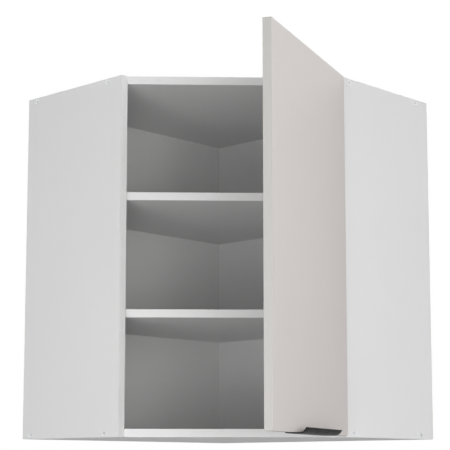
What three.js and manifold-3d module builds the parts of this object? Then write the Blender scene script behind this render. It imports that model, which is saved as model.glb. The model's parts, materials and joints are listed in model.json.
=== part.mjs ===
// Corner wall cabinet with a diagonal front, two shelves and one door on
// concealed multi-link hinges. Millimetres, +Z up.
//
// The origin is the foot of the room corner that the cabinet fits into. The
// left wall is the plane x = 0, the right wall is the plane y = 0, and the
// cabinet's underside is z = 0. The cabinet fills x > 0, y < 0, and its
// diagonal front faces +X -Y. The door is modelled part open.

import * as THREE from 'three';
import { mergeVertices } from 'three/addons/utils/BufferGeometryUtils.js';
import Module from 'manifold-3d';

const wasm = await Module();
wasm.setup();

// ---------------------------------------------------------------- sizes ----

// Carcass
const WALL_LENGTH = 600; // along each wall, from the room corner to the outer side face
const CABINET_HEIGHT = 716;
const SIDE_DEPTH = 290; // width of the two side panels
const BOARD = 16; // side, top and bottom panels

// Shelves
const SHELF_COUNT = 2;
const SHELF_THICKNESS = 16;
const SHELF_SETBACK = 10; // behind the front edges of the top and bottom
const SHELF_SIDE_GAP = 1;
const SHELF_BACK_GAP = 0.5;

// Backs
const BACK_BOARD_THICKNESS = 16;
const BACK_BOARD_SPACE = 27; // right wall to the back board, room for the wall rail
const HARDBOARD = 3;
const HARDBOARD_SPACE = 24; // left wall to the hardboard
const GROOVE_DEPTH = 3.6;

// Clearances
const SEAT_GAP = 0.3; // between a piece and the hole or recess that holds it
const CUT_MARGIN = 5; // how far a cutting tool runs past the face it starts on
const JOIN_OVERLAP = 0.8; // how far two joined shapes run into each other

// Carcass screws, drilled alike in both side panels, which are turned end for end
const SCREW_LENGTH = 50;
const SCREW_HEAD_RADIUS = 5;
const SCREW_HEAD_HEIGHT = 4;
const SCREW_SHANK_RADIUS = 3.5;
const SCREW_SHANK_LENGTH = 12;
const SCREW_THREAD_RADIUS = 3.1;
const SCREW_POINT = 3;
const SCREW_SOCKET_RADIUS = 2.2;
const SCREW_SOCKET_DEPTH = 2.6;
const SCREW_FROM_NEAR_EDGE = 26; // the left panel's wall edge, the right panel's front edge
const SCREW_FROM_FAR_EDGE = 41; // the left panel's front edge, the right panel's wall edge
const BACK_SCREW_PLACES = [150, 450]; // from the left wall, into the back board

const SCREW_HEAD_BEVEL = 0.9; // round the raised heads of the plate and hanger screws

// Shelf pegs
const PEG_RADIUS = 2.5;
const PEG_DEPTH = 8;
const PEG_REACH = 9;
const PEG_SPADE_WIDTH = 8;
const PEG_SPADE_THICKNESS = 2;
const PEG_PLACES = [72, 242]; // from the wall, in each side panel
const BACK_PEG_PLACE = 190; // from the left wall, in the back board

// Door
const DOOR_THICKNESS = 16;
const DOOR_BOTTOM = 2; // above the underside of the cabinet
const DOOR_TOP_GAP = 3; // below the cabinet's top
const DOOR_SIDE_GAP = 1.4; // to the inner front corner of each side panel
const DOOR_FRONT_GAP = 2.5; // closed door to the front edges of top and bottom
const DOOR_OPEN_AT_REST = 66; // degrees

// Edge pull on the door's bottom edge
const PULL_LENGTH = 200;
const PULL_SHEET = 1.5;
const PULL_FLANGE_HEIGHT = 18; // up the door's inner face
const PULL_FLAT_REACH = 8; // flat part in front of the door's face
const PULL_LIP_RADIUS = 14.2; // inner radius of the curled lip
const PULL_LIP_SWEEP = 66; // degrees
const PULL_SCREW_SPACING = 160;
const PULL_SCREW_HOLE_RADIUS = 2;

// Door bumpers
const BUMPER_RADIUS = 4;
const BUMPER_HEIGHT = 1.9;
const BUMPER_RIM = 0.7; // upright edge below the dome
const BUMPER_FROM_EDGE = 20;
const BUMPER_FROM_END = 6.5;

// Hinges. Each is a double parallelogram whose virtual axis lies in the right
// side panel's front edge, so the door turns about that axis.
const HINGE_FROM_DOOR_END = 100;
const AXIS_BEHIND_FRONT = 0.5; // from the side panel's front edge, into the cabinet
const AXIS_INTO_PANEL = 11; // from the side panel's inner face, towards its outer face
const INNER_PIVOT_RISE = 17.5; // inner crank's pivot above the side panel's inner face
const PIVOT_SPACING = 10; // inner to outer crank's pivot
const CRANK_NEAR_PIN = 28; // crank pivot to the near bar's pin
const CRANK_FAR_PIN = 38; // crank pivot to the far bar's pin
const CRANK_TILT = 2.7; // degrees between the cranks and the closed door
const LINK_HALF_WIDTH = 2.7;
const LINK_EYE_RADIUS = 3.2;
const LINK_GAP = 0.35; // between layers of the linkage
const BAR_THICKNESS = 2.5;
const CRANK_PLATE = 1.6;
const PIN_RADIUS = 1.5;
const PIN_CLEARANCE = 0.3;

const CUP_RADIUS = 17.5;
const CUP_DEPTH = 11.2;
const CUP_WALL = 1.3;
const CUP_FLOOR = 1;
const CUP_FLANGE = 1.2;
const CUP_RIM_RADIUS = 19.3;
const CUP_EDGE_DISTANCE = 5; // cup to the door's hinge edge
const CUP_WING_HALF_LENGTH = 29;
const CUP_WING_WIDTH = 16;
const CUP_WING_OFFSET = 6; // wing holes from the cup's centre, away from the edge
const CUP_WING_CORNER = 5;
const CUP_SCREW_SPACING = 45;
const CUP_SCREW_HOLE_RADIUS = 2.2;

const ARM_SHEET = 1.6;
const ARM_NOSE_RADIUS = 3.6;
const ARM_LENGTH = 60; // behind the side panel's front edge
const ARM_LOW_TOP = 13; // top of the arm over its plate, above the side panel
const ARM_SLOPE_START = 6;
const ARM_SLOPE_END = 22;
const ARM_WEB_START = 5;
const ARM_CLEARANCE = 3.9; // underside of the arm above the side panel

const PLATE_CENTRE = 37; // plate screws behind the side panel's front edge
const PLATE_BASE = 2.5;
const PLATE_BASE_HALF_WIDTH = 8;
const PLATE_START = 20;
const PLATE_END = 58;
const PLATE_WING_WIDTH = 16;
const PLATE_WING_HALF_LENGTH = 24;
const PLATE_WING_CORNER = 6;
const PLATE_SCREW_SPACING = 32;
const PLATE_SCREW_RADIUS = 2.6;
const PLATE_SCREW_HEAD_RADIUS = 4.5;
const PLATE_SCREW_HEAD_HEIGHT = 2.2;
const PLATE_SCREW_DEPTH = 11; // into the side panel
const PLATE_SCREW_SOCKET_RADIUS = 1.8;
const PLATE_SCREW_SOCKET_DEPTH = 1.4;

// Wall hangers, one on each side panel, at the top and next to the wall
const HANGER_FROM_WALL = 14; // wall to the hanger's case
const HANGER_LENGTH = 48;
const HANGER_HEIGHT = 43;
const HANGER_THICKNESS = 15;
const HANGER_BELOW_TOP = 3; // case below the top panel
const HANGER_SLOT_DEPTH = 30;
const HANGER_SLOT_HEIGHT = 26;
const HANGER_BEVEL = 3;
const HANGER_DOWEL_RADIUS = 5;
const HANGER_DOWEL_DEPTH = 10;
const HANGER_DOWEL_SPACING = 26;
const HOOK_THICKNESS = 3;
const HOOK_FROM_WALL = 3;
const HOOK_HEIGHT = 18;
const HOOK_TOOTH_WIDTH = 4;
const HOOK_TOOTH_DROP = 14;
const HOOK_PLAY = 2; // between the hook's end and the end of its slot
const ADJUSTER_RADIUS = 2.2;
const ADJUSTER_HEAD_RADIUS = 4;
const ADJUSTER_HEAD_HEIGHT = 2.5;
const ADJUSTER_DEPTH = 12;
const ADJUSTER_SPACING = 22;
const ADJUSTER_SOCKET_RADIUS = 1.9;
const ADJUSTER_SOCKET_DEPTH = 1.6;
const NOTCH_GAP = 2.5; // around a hanger, in the back panels

// Smoothness of round shapes
const ROUND_FINE = 32;
const ROUND = 12;
const ROUND_SMALL = 10;
const ARC_STEPS = 6;
const BUMPER_STEPS = 3;

// -------------------------------------------------------- worked-out sizes --

const INNER_FACE = WALL_LENGTH - BOARD; // side panels' inner faces, from the room corner
const INNER_TOP = CABINET_HEIGHT - BOARD;
const FRONT_SUM = INNER_FACE + SIDE_DEPTH; // x - y on the front edges of top and bottom
const HARDBOARD_FACE = HARDBOARD_SPACE + HARDBOARD;
const BACK_BOARD_FACE = BACK_BOARD_SPACE + BACK_BOARD_THICKNESS;
const COMPARTMENT = (INNER_TOP - BOARD - SHELF_COUNT * SHELF_THICKNESS) / (SHELF_COUNT + 1);
const SHELF_UNDERSIDES = Array.from(
  { length: SHELF_COUNT },
  (_, level) => BOARD + COMPARTMENT + level * (COMPARTMENT + SHELF_THICKNESS),
);
const SHELF_NAMES = SHELF_COUNT === 2
  ? ['lower_shelf', 'upper_shelf']
  : SHELF_UNDERSIDES.map((_, level) => `shelf_${level + 1}`);

// The door's own frame: origin on the hinge axis, and with the door closed x runs
// along the front towards the hinge side and y into the cabinet.
const AXIS_TO_CORNER_X = -(AXIS_BEHIND_FRONT + AXIS_INTO_PANEL) * Math.SQRT1_2;
const AXIS_TO_CORNER_Y = (AXIS_INTO_PANEL - AXIS_BEHIND_FRONT) * Math.SQRT1_2;
const DOOR_WIDTH = (INNER_FACE - SIDE_DEPTH) * Math.SQRT2 - 2 * DOOR_SIDE_GAP;
const DOOR_HINGE_EDGE = AXIS_TO_CORNER_X - DOOR_SIDE_GAP;
const DOOR_FREE_EDGE = DOOR_HINGE_EDGE - DOOR_WIDTH;
const DOOR_INNER_FACE = AXIS_TO_CORNER_Y - DOOR_FRONT_GAP;
const DOOR_OUTER_FACE = DOOR_INNER_FACE - DOOR_THICKNESS;
const DOOR_HEIGHT = CABINET_HEIGHT - DOOR_BOTTOM - DOOR_TOP_GAP;
const HINGE_HEIGHTS = {
  lower: DOOR_BOTTOM + HINGE_FROM_DOOR_END,
  upper: DOOR_BOTTOM + DOOR_HEIGHT - HINGE_FROM_DOOR_END,
};

const OPEN = THREE.MathUtils.degToRad(DOOR_OPEN_AT_REST);
const TILT = THREE.MathUtils.degToRad(CRANK_TILT);
const CUP_CENTRE = DOOR_HINGE_EDGE - CUP_EDGE_DISTANCE - CUP_RADIUS;
const BAR_LENGTH = INNER_PIVOT_RISE + AXIS_INTO_PANEL;
const CRANK_INSIDE = BAR_THICKNESS / 2 + LINK_GAP;
const CRANK_OUTSIDE = CRANK_INSIDE + CRANK_PLATE;
const ARM_INSIDE = CRANK_OUTSIDE + LINK_GAP;
const ARM_OUTSIDE = ARM_INSIDE + ARM_SHEET;
const ARM_HIGH_TOP = INNER_PIVOT_RISE + ARM_NOSE_RADIUS;
const OUTER_PIVOT_RISE = INNER_PIVOT_RISE - PIVOT_SPACING;

const HANGER_TOP = INNER_TOP - HANGER_BELOW_TOP;
const HANGER_MIDDLE = HANGER_TOP - HANGER_HEIGHT / 2;

// ------------------------------------------------------------- materials ----

function material(colour, roughness, metalness = 0) {
  return new THREE.MeshStandardMaterial({ color: colour, roughness, metalness });
}

const WHITE_BOARD = material(0xe9e9e8, 0.55);
const GREIGE_BOARD = material(0xcdc8c3, 0.6);
const WHITE_HARDBOARD = material(0xe4e4e2, 0.6);
const BLACK_METAL = material(0x1d1d1e, 0.45, 0.6);
const NICKEL = material(0xc4c4c2, 0.3, 0.9);
const ZINC = material(0xb9babb, 0.4, 0.9);
const WHITE_PLASTIC = material(0xeeeeec, 0.5);
const CLEAR_RUBBER = material(0xdfe3e4, 0.35);

// --------------------------------------------------------- shape helpers ----

function toManifold(geometry) {
  const bare = geometry.clone();
  bare.deleteAttribute('normal');
  bare.deleteAttribute('uv');
  const merged = mergeVertices(bare, 1e-4);
  return new wasm.Manifold(new wasm.Mesh({
    numProp: 3,
    vertProperties: new Float32Array(merged.attributes.position.array),
    triVerts: new Uint32Array(merged.index.array),
  }));
}

function toGeometry(manifold) {
  const mesh = manifold.getMesh();
  const geometry = new THREE.BufferGeometry();
  geometry.setAttribute('position', new THREE.BufferAttribute(new Float32Array(mesh.vertProperties), 3));
  geometry.setIndex(new THREE.BufferAttribute(new Uint32Array(mesh.triVerts), 1));
  geometry.computeVertexNormals();
  return geometry;
}

// The first geometry with all the others cut out of it.
function cut(base, ...tools) {
  const body = tools.reduce((rest, tool) => rest.subtract(toManifold(tool)), toManifold(base));
  return toGeometry(body);
}

// All the geometries joined into one.
function join(...pieces) {
  return toGeometry(pieces.map(toManifold).reduce((sum, piece) => sum.add(piece)));
}

// A box between two opposite corners, given in any order.
function block(cornerA, cornerB) {
  const low = new THREE.Vector3(...cornerA).min(new THREE.Vector3(...cornerB));
  const high = new THREE.Vector3(...cornerA).max(new THREE.Vector3(...cornerB));
  const size = high.clone().sub(low);
  const centre = low.add(high).multiplyScalar(0.5);
  return new THREE.BoxGeometry(size.x, size.y, size.z).translate(centre.x, centre.y, centre.z);
}

// A round rod between two points.
function rod(radius, start, end, segments = ROUND_SMALL) {
  const from = new THREE.Vector3(...start);
  const along = new THREE.Vector3(...end).sub(from);
  const turn = new THREE.Quaternion().setFromUnitVectors(
    new THREE.Vector3(0, 1, 0),
    along.clone().normalize(),
  );
  const geometry = new THREE.CylinderGeometry(radius, radius, along.length(), segments);
  geometry.translate(0, along.length() / 2, 0).applyQuaternion(turn);
  return geometry.translate(from.x, from.y, from.z);
}

// A level slab from an outline in x and y.
function slab(outline, bottom, top) {
  const shape = outline instanceof THREE.Shape
    ? outline
    : new THREE.Shape(outline.map(([x, y]) => new THREE.Vector2(x, y)));
  const options = { depth: top - bottom, bevelEnabled: false, curveSegments: ARC_STEPS };
  return new THREE.ExtrudeGeometry(shape, options).translate(0, 0, bottom);
}

function roundedRectangle(left, right, low, high, corner) {
  const quarter = Math.PI / 2;
  const shape = new THREE.Shape();
  shape.absarc(right - corner, high - corner, corner, 0, quarter);
  shape.absarc(left + corner, high - corner, corner, quarter, 2 * quarter);
  shape.absarc(left + corner, low + corner, corner, 2 * quarter, 3 * quarter);
  shape.absarc(right - corner, low + corner, corner, 3 * quarter, 4 * quarter);
  return shape;
}

// A turned piece from its radius and height pairs, about the y axis.
function turned(profile, segments = ROUND) {
  return new THREE.LatheGeometry(profile.map(([r, y]) => new THREE.Vector2(r, y)), segments);
}

function place(name, geometry, finish, parent) {
  const mesh = new THREE.Mesh(geometry, finish);
  mesh.name = name;
  parent.add(mesh);
  return mesh;
}

// Turns a piece whose own y axis is its length, and moves it to its place.
function pointAlong(piece, position, direction) {
  piece.position.set(...position);
  piece.quaternion.setFromUnitVectors(new THREE.Vector3(0, 1, 0), new THREE.Vector3(...direction));
  return piece;
}

// The same turn and move for a cutting tool.
function toolAlong(geometry, position, direction) {
  const turn = new THREE.Quaternion().setFromUnitVectors(
    new THREE.Vector3(0, 1, 0),
    new THREE.Vector3(...direction),
  );
  return geometry.applyQuaternion(turn).translate(...position);
}

// -------------------------------------------------------- the two sides ----

// Each side panel measured from the wall it meets, inwards from its inner face,
// and upwards. One panel is the other's mirror image in the room's diagonal.
const SIDES = {
  left: {
    at: (fromWall, inward, z) => [fromWall, inward - INNER_FACE, z],
    inward: [0, 1, 0],
    outward: [0, -1, 0],
    awayFromWall: [1, 0, 0],
    screws: [SCREW_FROM_NEAR_EDGE, SIDE_DEPTH - SCREW_FROM_FAR_EDGE],
  },
  right: {
    at: (fromWall, inward, z) => [INNER_FACE - inward, -fromWall, z],
    inward: [-1, 0, 0],
    outward: [1, 0, 0],
    awayFromWall: [0, -1, 0],
    screws: [SCREW_FROM_FAR_EDGE, SIDE_DEPTH - SCREW_FROM_NEAR_EDGE],
  },
};

// Heights at the middle of the bottom and top panels' thickness.
const END_HEIGHTS = { bottom: BOARD / 2, top: CABINET_HEIGHT - BOARD / 2 };

// -------------------------------------------------------- carcass screws ----

// A countersunk carcass screw, head at y = 0 and point down, swollen by a gap.
function screwProfile(gap) {
  return [
    [SCREW_HEAD_RADIUS + gap, 0],
    [SCREW_SHANK_RADIUS + gap, -SCREW_HEAD_HEIGHT],
    [SCREW_SHANK_RADIUS + gap, -SCREW_SHANK_LENGTH - gap],
    [SCREW_THREAD_RADIUS + gap, -SCREW_SHANK_LENGTH - gap],
    [SCREW_THREAD_RADIUS + gap, -SCREW_LENGTH + SCREW_POINT - gap],
    [0, -SCREW_LENGTH - gap],
  ];
}

function carcassScrew() {
  const socket = [
    [0, -SCREW_SOCKET_DEPTH],
    [SCREW_SOCKET_RADIUS, -SCREW_SOCKET_DEPTH],
    [SCREW_SOCKET_RADIUS, 0],
  ];
  return turned([...socket, ...screwProfile(0)].reverse(), ROUND_SMALL);
}

function screwHole() {
  const mouth = [[0, CUT_MARGIN], [SCREW_HEAD_RADIUS + SEAT_GAP, CUT_MARGIN]];
  return turned([...mouth, ...screwProfile(SEAT_GAP)].reverse(), ROUND_SMALL);
}

// Every carcass screw: its name, where its head lies and which way the head looks.
function carcassScrewPlaces() {
  const places = [];
  for (const [sideName, side] of Object.entries(SIDES)) {
    for (const [endName, height] of Object.entries(END_HEIGHTS)) {
      side.screws.forEach((fromWall, index) => {
        const reach = index === 0 ? 'wall' : 'front';
        places.push({
          name: `${sideName}_${endName}_${reach}_screw`,
          position: side.at(fromWall, -BOARD, height),
          direction: side.outward,
        });
      });
    }
  }
  const backLine = -(BACK_BOARD_SPACE + BACK_BOARD_THICKNESS / 2);
  BACK_SCREW_PLACES.forEach((x, index) => {
    const number = index + 1;
    places.push({
      name: `back_top_screw_${number}`,
      position: [x, backLine, CABINET_HEIGHT],
      direction: [0, 0, 1],
    });
    places.push({
      name: `back_bottom_screw_${number}`,
      position: [x, backLine, 0],
      direction: [0, 0, -1],
    });
  });
  return places;
}

// Holes for the carcass screws whose names pass the test.
function screwHoles(wanted) {
  return carcassScrewPlaces()
    .filter(({ name }) => wanted(name))
    .map(({ position, direction }) => toolAlong(screwHole(), position, direction));
}

// ---------------------------------------------------------------- boards ----

// Tools that cut one side panel's peg holes and hanger dowel holes.
function sideDrillings(side) {
  const tools = [];
  for (const underside of SHELF_UNDERSIDES) {
    for (const fromWall of PEG_PLACES) {
      const height = underside - pegDrop();
      tools.push(rod(
        PEG_RADIUS + SEAT_GAP,
        side.at(fromWall, -PEG_DEPTH - SEAT_GAP, height),
        side.at(fromWall, CUT_MARGIN, height),
      ));
    }
  }
  for (const height of dowelHeights()) {
    tools.push(rod(
      HANGER_DOWEL_RADIUS + SEAT_GAP,
      side.at(hangerMiddle(), -HANGER_DOWEL_DEPTH - SEAT_GAP, height),
      side.at(hangerMiddle(), CUT_MARGIN, height),
      ROUND,
    ));
  }
  return tools;
}

function sideBlank(side) {
  return block(side.at(0, -BOARD, 0), side.at(SIDE_DEPTH, 0, CABINET_HEIGHT));
}

// The groove that holds the hardboard, as a tool that runs past both ends.
function hardboardGroove(lowCorner, highCorner) {
  const [, lowY, lowZ] = lowCorner;
  const [, highY, highZ] = highCorner;
  return block(
    [HARDBOARD_SPACE - SEAT_GAP, lowY, lowZ],
    [HARDBOARD_FACE + SEAT_GAP, highY, highZ],
  );
}

function leftSidePanel() {
  const groove = hardboardGroove(
    [0, -INNER_FACE - GROOVE_DEPTH, -CUT_MARGIN],
    [0, -INNER_FACE + CUT_MARGIN, CABINET_HEIGHT + CUT_MARGIN],
  );
  return cut(
    sideBlank(SIDES.left),
    groove,
    ...sideDrillings(SIDES.left),
    ...screwHoles((name) => name.startsWith('left_')),
  );
}

function rightSidePanel() {
  const plateHoles = Object.values(HINGE_HEIGHTS).flatMap((height) => plateScrewHeights(height).map(
    (z) => rod(
      PLATE_SCREW_RADIUS + SEAT_GAP,
      SIDES.right.at(SIDE_DEPTH - PLATE_CENTRE, -PLATE_SCREW_DEPTH - SEAT_GAP, z),
      SIDES.right.at(SIDE_DEPTH - PLATE_CENTRE, CUT_MARGIN, z),
    ),
  ));
  return cut(
    sideBlank(SIDES.right),
    ...plateHoles,
    ...sideDrillings(SIDES.right),
    ...screwHoles((name) => name.startsWith('right_')),
  );
}

// The five-sided outline between the side panels, back to the room corner.
function endOutline() {
  return [
    [0, 0],
    [0, -INNER_FACE],
    [SIDE_DEPTH, -INNER_FACE],
    [INNER_FACE, -SIDE_DEPTH],
    [INNER_FACE, 0],
  ];
}

function bottomPanel() {
  const groove = hardboardGroove(
    [0, -INNER_FACE - CUT_MARGIN, BOARD - GROOVE_DEPTH],
    [0, CUT_MARGIN, BOARD + CUT_MARGIN],
  );
  return cut(slab(endOutline(), 0, BOARD), groove, ...screwHoles((name) => name.includes('bottom')));
}

function topPanel() {
  const groove = hardboardGroove(
    [0, -INNER_FACE - CUT_MARGIN, INNER_TOP - CUT_MARGIN],
    [0, CUT_MARGIN, INNER_TOP + GROOVE_DEPTH],
  );
  const blank = slab(endOutline(), INNER_TOP, CABINET_HEIGHT);
  return cut(blank, groove, ...screwHoles((name) => name.includes('top')));
}

function shelf(underside) {
  const left = HARDBOARD_FACE + SHELF_BACK_GAP;
  const back = -BACK_BOARD_FACE - SHELF_BACK_GAP;
  const side = INNER_FACE - SHELF_SIDE_GAP;
  const frontSum = FRONT_SUM - SHELF_SETBACK * Math.SQRT2;
  const outline = [
    [left, back],
    [left, -side],
    [frontSum - side, -side],
    [side, side - frontSum],
    [side, back],
  ];
  return slab(outline, underside, underside + SHELF_THICKNESS);
}

// The space cut from a back panel's top corner for the hanger on that side.
function hangerNotch(side) {
  return block(
    side.at(-CUT_MARGIN, -CUT_MARGIN, HANGER_TOP - HANGER_HEIGHT - NOTCH_GAP),
    side.at(BACK_BOARD_FACE + CUT_MARGIN, HANGER_THICKNESS + NOTCH_GAP, CABINET_HEIGHT),
  );
}

// Hardboard behind the left part, held in grooves on three edges and lapped
// over the end of the back board.
function hardboardBack() {
  const tuck = GROOVE_DEPTH - SEAT_GAP;
  const sheet = block(
    [HARDBOARD_SPACE, -INNER_FACE - tuck, BOARD - tuck],
    [HARDBOARD_FACE, -BACK_BOARD_SPACE, INNER_TOP + tuck],
  );
  return cut(sheet, hangerNotch(SIDES.left));
}

function backBoard() {
  const board = block([HARDBOARD_FACE, -BACK_BOARD_FACE, BOARD], [INNER_FACE, -BACK_BOARD_SPACE, INNER_TOP]);
  const pegHoles = SHELF_UNDERSIDES.map((underside) => rod(
    PEG_RADIUS + SEAT_GAP,
    [BACK_PEG_PLACE, -BACK_BOARD_FACE + PEG_DEPTH + SEAT_GAP, underside - pegDrop()],
    [BACK_PEG_PLACE, -BACK_BOARD_FACE - CUT_MARGIN, underside - pegDrop()],
  ));
  return cut(
    board,
    hangerNotch(SIDES.right),
    ...pegHoles,
    ...screwHoles((name) => name.startsWith('back_')),
  );
}

// ------------------------------------------------------------ shelf pegs ----

// From a shelf's underside down to the middle of its pegs.
function pegDrop() {
  return PEG_SPADE_THICKNESS + PEG_RADIUS / 2;
}

// A peg along +y: a round stem in its hole, and a flat spade under the shelf.
function peg() {
  const stem = rod(PEG_RADIUS, [0, -PEG_DEPTH, 0], [0, PEG_REACH, 0]);
  const spade = block(
    [-PEG_SPADE_WIDTH / 2, SEAT_GAP, pegDrop() - PEG_SPADE_THICKNESS],
    [PEG_SPADE_WIDTH / 2, PEG_REACH, pegDrop()],
  );
  return join(stem, spade);
}

function placePeg(name, position, turn, parent) {
  const mesh = place(name, peg(), ZINC, parent);
  mesh.position.set(...position);
  mesh.rotation.z = turn;
}

function placePegs(parent) {
  SHELF_UNDERSIDES.forEach((underside, level) => {
    const height = underside - pegDrop();
    const shelfName = SHELF_NAMES[level];
    PEG_PLACES.forEach((fromWall, index) => {
      const reach = index === 0 ? 'wall' : 'front';
      placePeg(`${shelfName}_left_${reach}_peg`, SIDES.left.at(fromWall, 0, height), 0, parent);
      placePeg(`${shelfName}_right_${reach}_peg`, SIDES.right.at(fromWall, 0, height), Math.PI / 2, parent);
    });
    placePeg(`${shelfName}_back_peg`, [BACK_PEG_PLACE, -BACK_BOARD_FACE, height], Math.PI, parent);
  });
}

// ------------------------------------------------------------------ door ----

// The cup's centre line, and the tool that bores the door for it.
function cupBore(height) {
  return rod(
    CUP_RADIUS + SEAT_GAP,
    [CUP_CENTRE, DOOR_INNER_FACE - CUP_DEPTH - SEAT_GAP, height],
    [CUP_CENTRE, DOOR_INNER_FACE + CUT_MARGIN, height],
    ROUND_FINE,
  );
}

function doorPanel() {
  const board = block(
    [DOOR_FREE_EDGE, DOOR_OUTER_FACE, DOOR_BOTTOM],
    [DOOR_HINGE_EDGE, DOOR_INNER_FACE, DOOR_BOTTOM + DOOR_HEIGHT],
  );
  return cut(board, ...Object.values(HINGE_HEIGHTS).map(cupBore));
}

// The bent sheet's section: x out from the door's outer face, y up from the
// door's bottom edge.
function pullSection() {
  const sweep = THREE.MathUtils.degToRad(PULL_LIP_SWEEP);
  const down = -Math.PI / 2;
  const innerBack = -DOOR_THICKNESS - SEAT_GAP;
  const outerBack = innerBack - PULL_SHEET;
  const lipCentre = PULL_LIP_RADIUS - SEAT_GAP;
  const middleRadius = PULL_LIP_RADIUS + PULL_SHEET / 2;
  const tipX = PULL_FLAT_REACH + middleRadius * Math.cos(down + sweep);
  const tipY = lipCentre + middleRadius * Math.sin(down + sweep);
  const shape = new THREE.Shape();
  shape.moveTo(outerBack, PULL_FLANGE_HEIGHT);
  shape.lineTo(outerBack, -SEAT_GAP - PULL_SHEET);
  shape.absarc(PULL_FLAT_REACH, lipCentre, PULL_LIP_RADIUS + PULL_SHEET, down, down + sweep);
  shape.absarc(tipX, tipY, PULL_SHEET / 2, down + sweep, down + sweep + Math.PI);
  shape.absarc(PULL_FLAT_REACH, lipCentre, PULL_LIP_RADIUS, down + sweep, down, true);
  shape.lineTo(innerBack, -SEAT_GAP);
  shape.lineTo(innerBack, PULL_FLANGE_HEIGHT);
  return shape;
}

function edgePull() {
  const options = { depth: PULL_LENGTH, bevelEnabled: false, curveSegments: ARC_STEPS };
  const strip = new THREE.ExtrudeGeometry(pullSection(), options);
  const toDoor = new THREE.Matrix4().makeBasis(
    new THREE.Vector3(0, -1, 0),
    new THREE.Vector3(0, 0, 1),
    new THREE.Vector3(-1, 0, 0),
  );
  const middle = (DOOR_HINGE_EDGE + DOOR_FREE_EDGE) / 2;
  toDoor.setPosition(middle + PULL_LENGTH / 2, DOOR_OUTER_FACE, DOOR_BOTTOM);
  strip.applyMatrix4(toDoor);
  const holes = [-1, 1].map((end) => {
    const x = middle + end * PULL_SCREW_SPACING / 2;
    const z = DOOR_BOTTOM + PULL_FLANGE_HEIGHT / 2;
    return rod(
      PULL_SCREW_HOLE_RADIUS,
      [x, DOOR_INNER_FACE - CUT_MARGIN, z],
      [x, DOOR_INNER_FACE + CUT_MARGIN, z],
    );
  });
  return cut(strip, ...holes);
}

// A low soft dome stuck to the door's inner face, a quarter ellipse above its rim.
function bumper() {
  const domeHeight = BUMPER_HEIGHT - BUMPER_RIM;
  const dome = Array.from({ length: BUMPER_STEPS + 1 }, (_, step) => {
    const angle = (step / BUMPER_STEPS) * Math.PI / 2;
    return [BUMPER_RADIUS * Math.cos(angle), BUMPER_RIM + domeHeight * Math.sin(angle)];
  });
  dome[BUMPER_STEPS][0] = 0;
  return turned([[0, 0], [BUMPER_RADIUS, 0], ...dome]);
}

// ---------------------------------------------------------------- hinges ----

// A flat link along +x with an eye at each given distance. Its outline is the
// bar itself; the eyes are round swellings.
function linkBlank(eyes, bottom, top) {
  const last = eyes[eyes.length - 1];
  const bar = slab(
    [[0, -LINK_HALF_WIDTH], [last, -LINK_HALF_WIDTH], [last, LINK_HALF_WIDTH], [0, LINK_HALF_WIDTH]],
    bottom,
    top,
  );
  const swellings = eyes.map((x) => rod(LINK_EYE_RADIUS, [x, 0, bottom], [x, 0, top], ROUND));
  return join(bar, ...swellings);
}

// One crank: two plates with the bars between them, joined by the bars' pins.
// Its pivot is at the origin, where both plates have a hole.
function crank() {
  const pins = [CRANK_NEAR_PIN, CRANK_FAR_PIN];
  const plates = [
    linkBlank([0, ...pins], CRANK_INSIDE, CRANK_OUTSIDE),
    linkBlank([0, ...pins], -CRANK_OUTSIDE, -CRANK_INSIDE),
  ];
  const middle = (CRANK_INSIDE + CRANK_OUTSIDE) / 2;
  const studs = pins.map((x) => rod(PIN_RADIUS, [x, 0, -middle], [x, 0, middle]));
  const pivotHole = rod(
    PIN_RADIUS + PIN_CLEARANCE,
    [0, 0, -CRANK_OUTSIDE - CUT_MARGIN],
    [0, 0, CRANK_OUTSIDE + CUT_MARGIN],
  );
  return cut(join(...plates, ...studs), pivotHole);
}

// One bar: an eye for each crank, and one for its pin in the cup.
function bar() {
  const eyes = [0, PIVOT_SPACING, BAR_LENGTH];
  const half = BAR_THICKNESS / 2;
  const holes = eyes.map((x) => rod(
    PIN_RADIUS + PIN_CLEARANCE,
    [x, 0, -half - CUT_MARGIN],
    [x, 0, half + CUT_MARGIN],
  ));
  return cut(linkBlank(eyes, -half, half), ...holes);
}

// Side view of the arm: x back from the panel's front edge, y off its inner face.
function armOutline() {
  const quarter = Math.PI / 2;
  const nose = AXIS_BEHIND_FRONT;
  const shape = new THREE.Shape();
  shape.moveTo(ARM_LENGTH, ARM_CLEARANCE);
  shape.lineTo(ARM_LENGTH, ARM_LOW_TOP);
  shape.lineTo(ARM_SLOPE_END, ARM_LOW_TOP);
  shape.lineTo(ARM_SLOPE_START, ARM_HIGH_TOP);
  shape.absarc(nose, INNER_PIVOT_RISE, ARM_NOSE_RADIUS, quarter, 2 * quarter);
  shape.absarc(nose, OUTER_PIVOT_RISE, ARM_NOSE_RADIUS, 2 * quarter, 3 * quarter);
  return shape;
}

// The web that joins the arm's two cheeks along their top edge.
function armWebOutline() {
  return [
    [ARM_WEB_START, ARM_HIGH_TOP],
    [ARM_WEB_START, ARM_HIGH_TOP - ARM_SHEET],
    [ARM_SLOPE_START - ARM_SHEET / 4, ARM_HIGH_TOP - ARM_SHEET],
    [ARM_SLOPE_END - ARM_SHEET / 4, ARM_LOW_TOP - ARM_SHEET],
    [ARM_LENGTH, ARM_LOW_TOP - ARM_SHEET],
    [ARM_LENGTH, ARM_LOW_TOP],
    [ARM_SLOPE_END, ARM_LOW_TOP],
    [ARM_SLOPE_START, ARM_HIGH_TOP],
  ];
}

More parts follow.
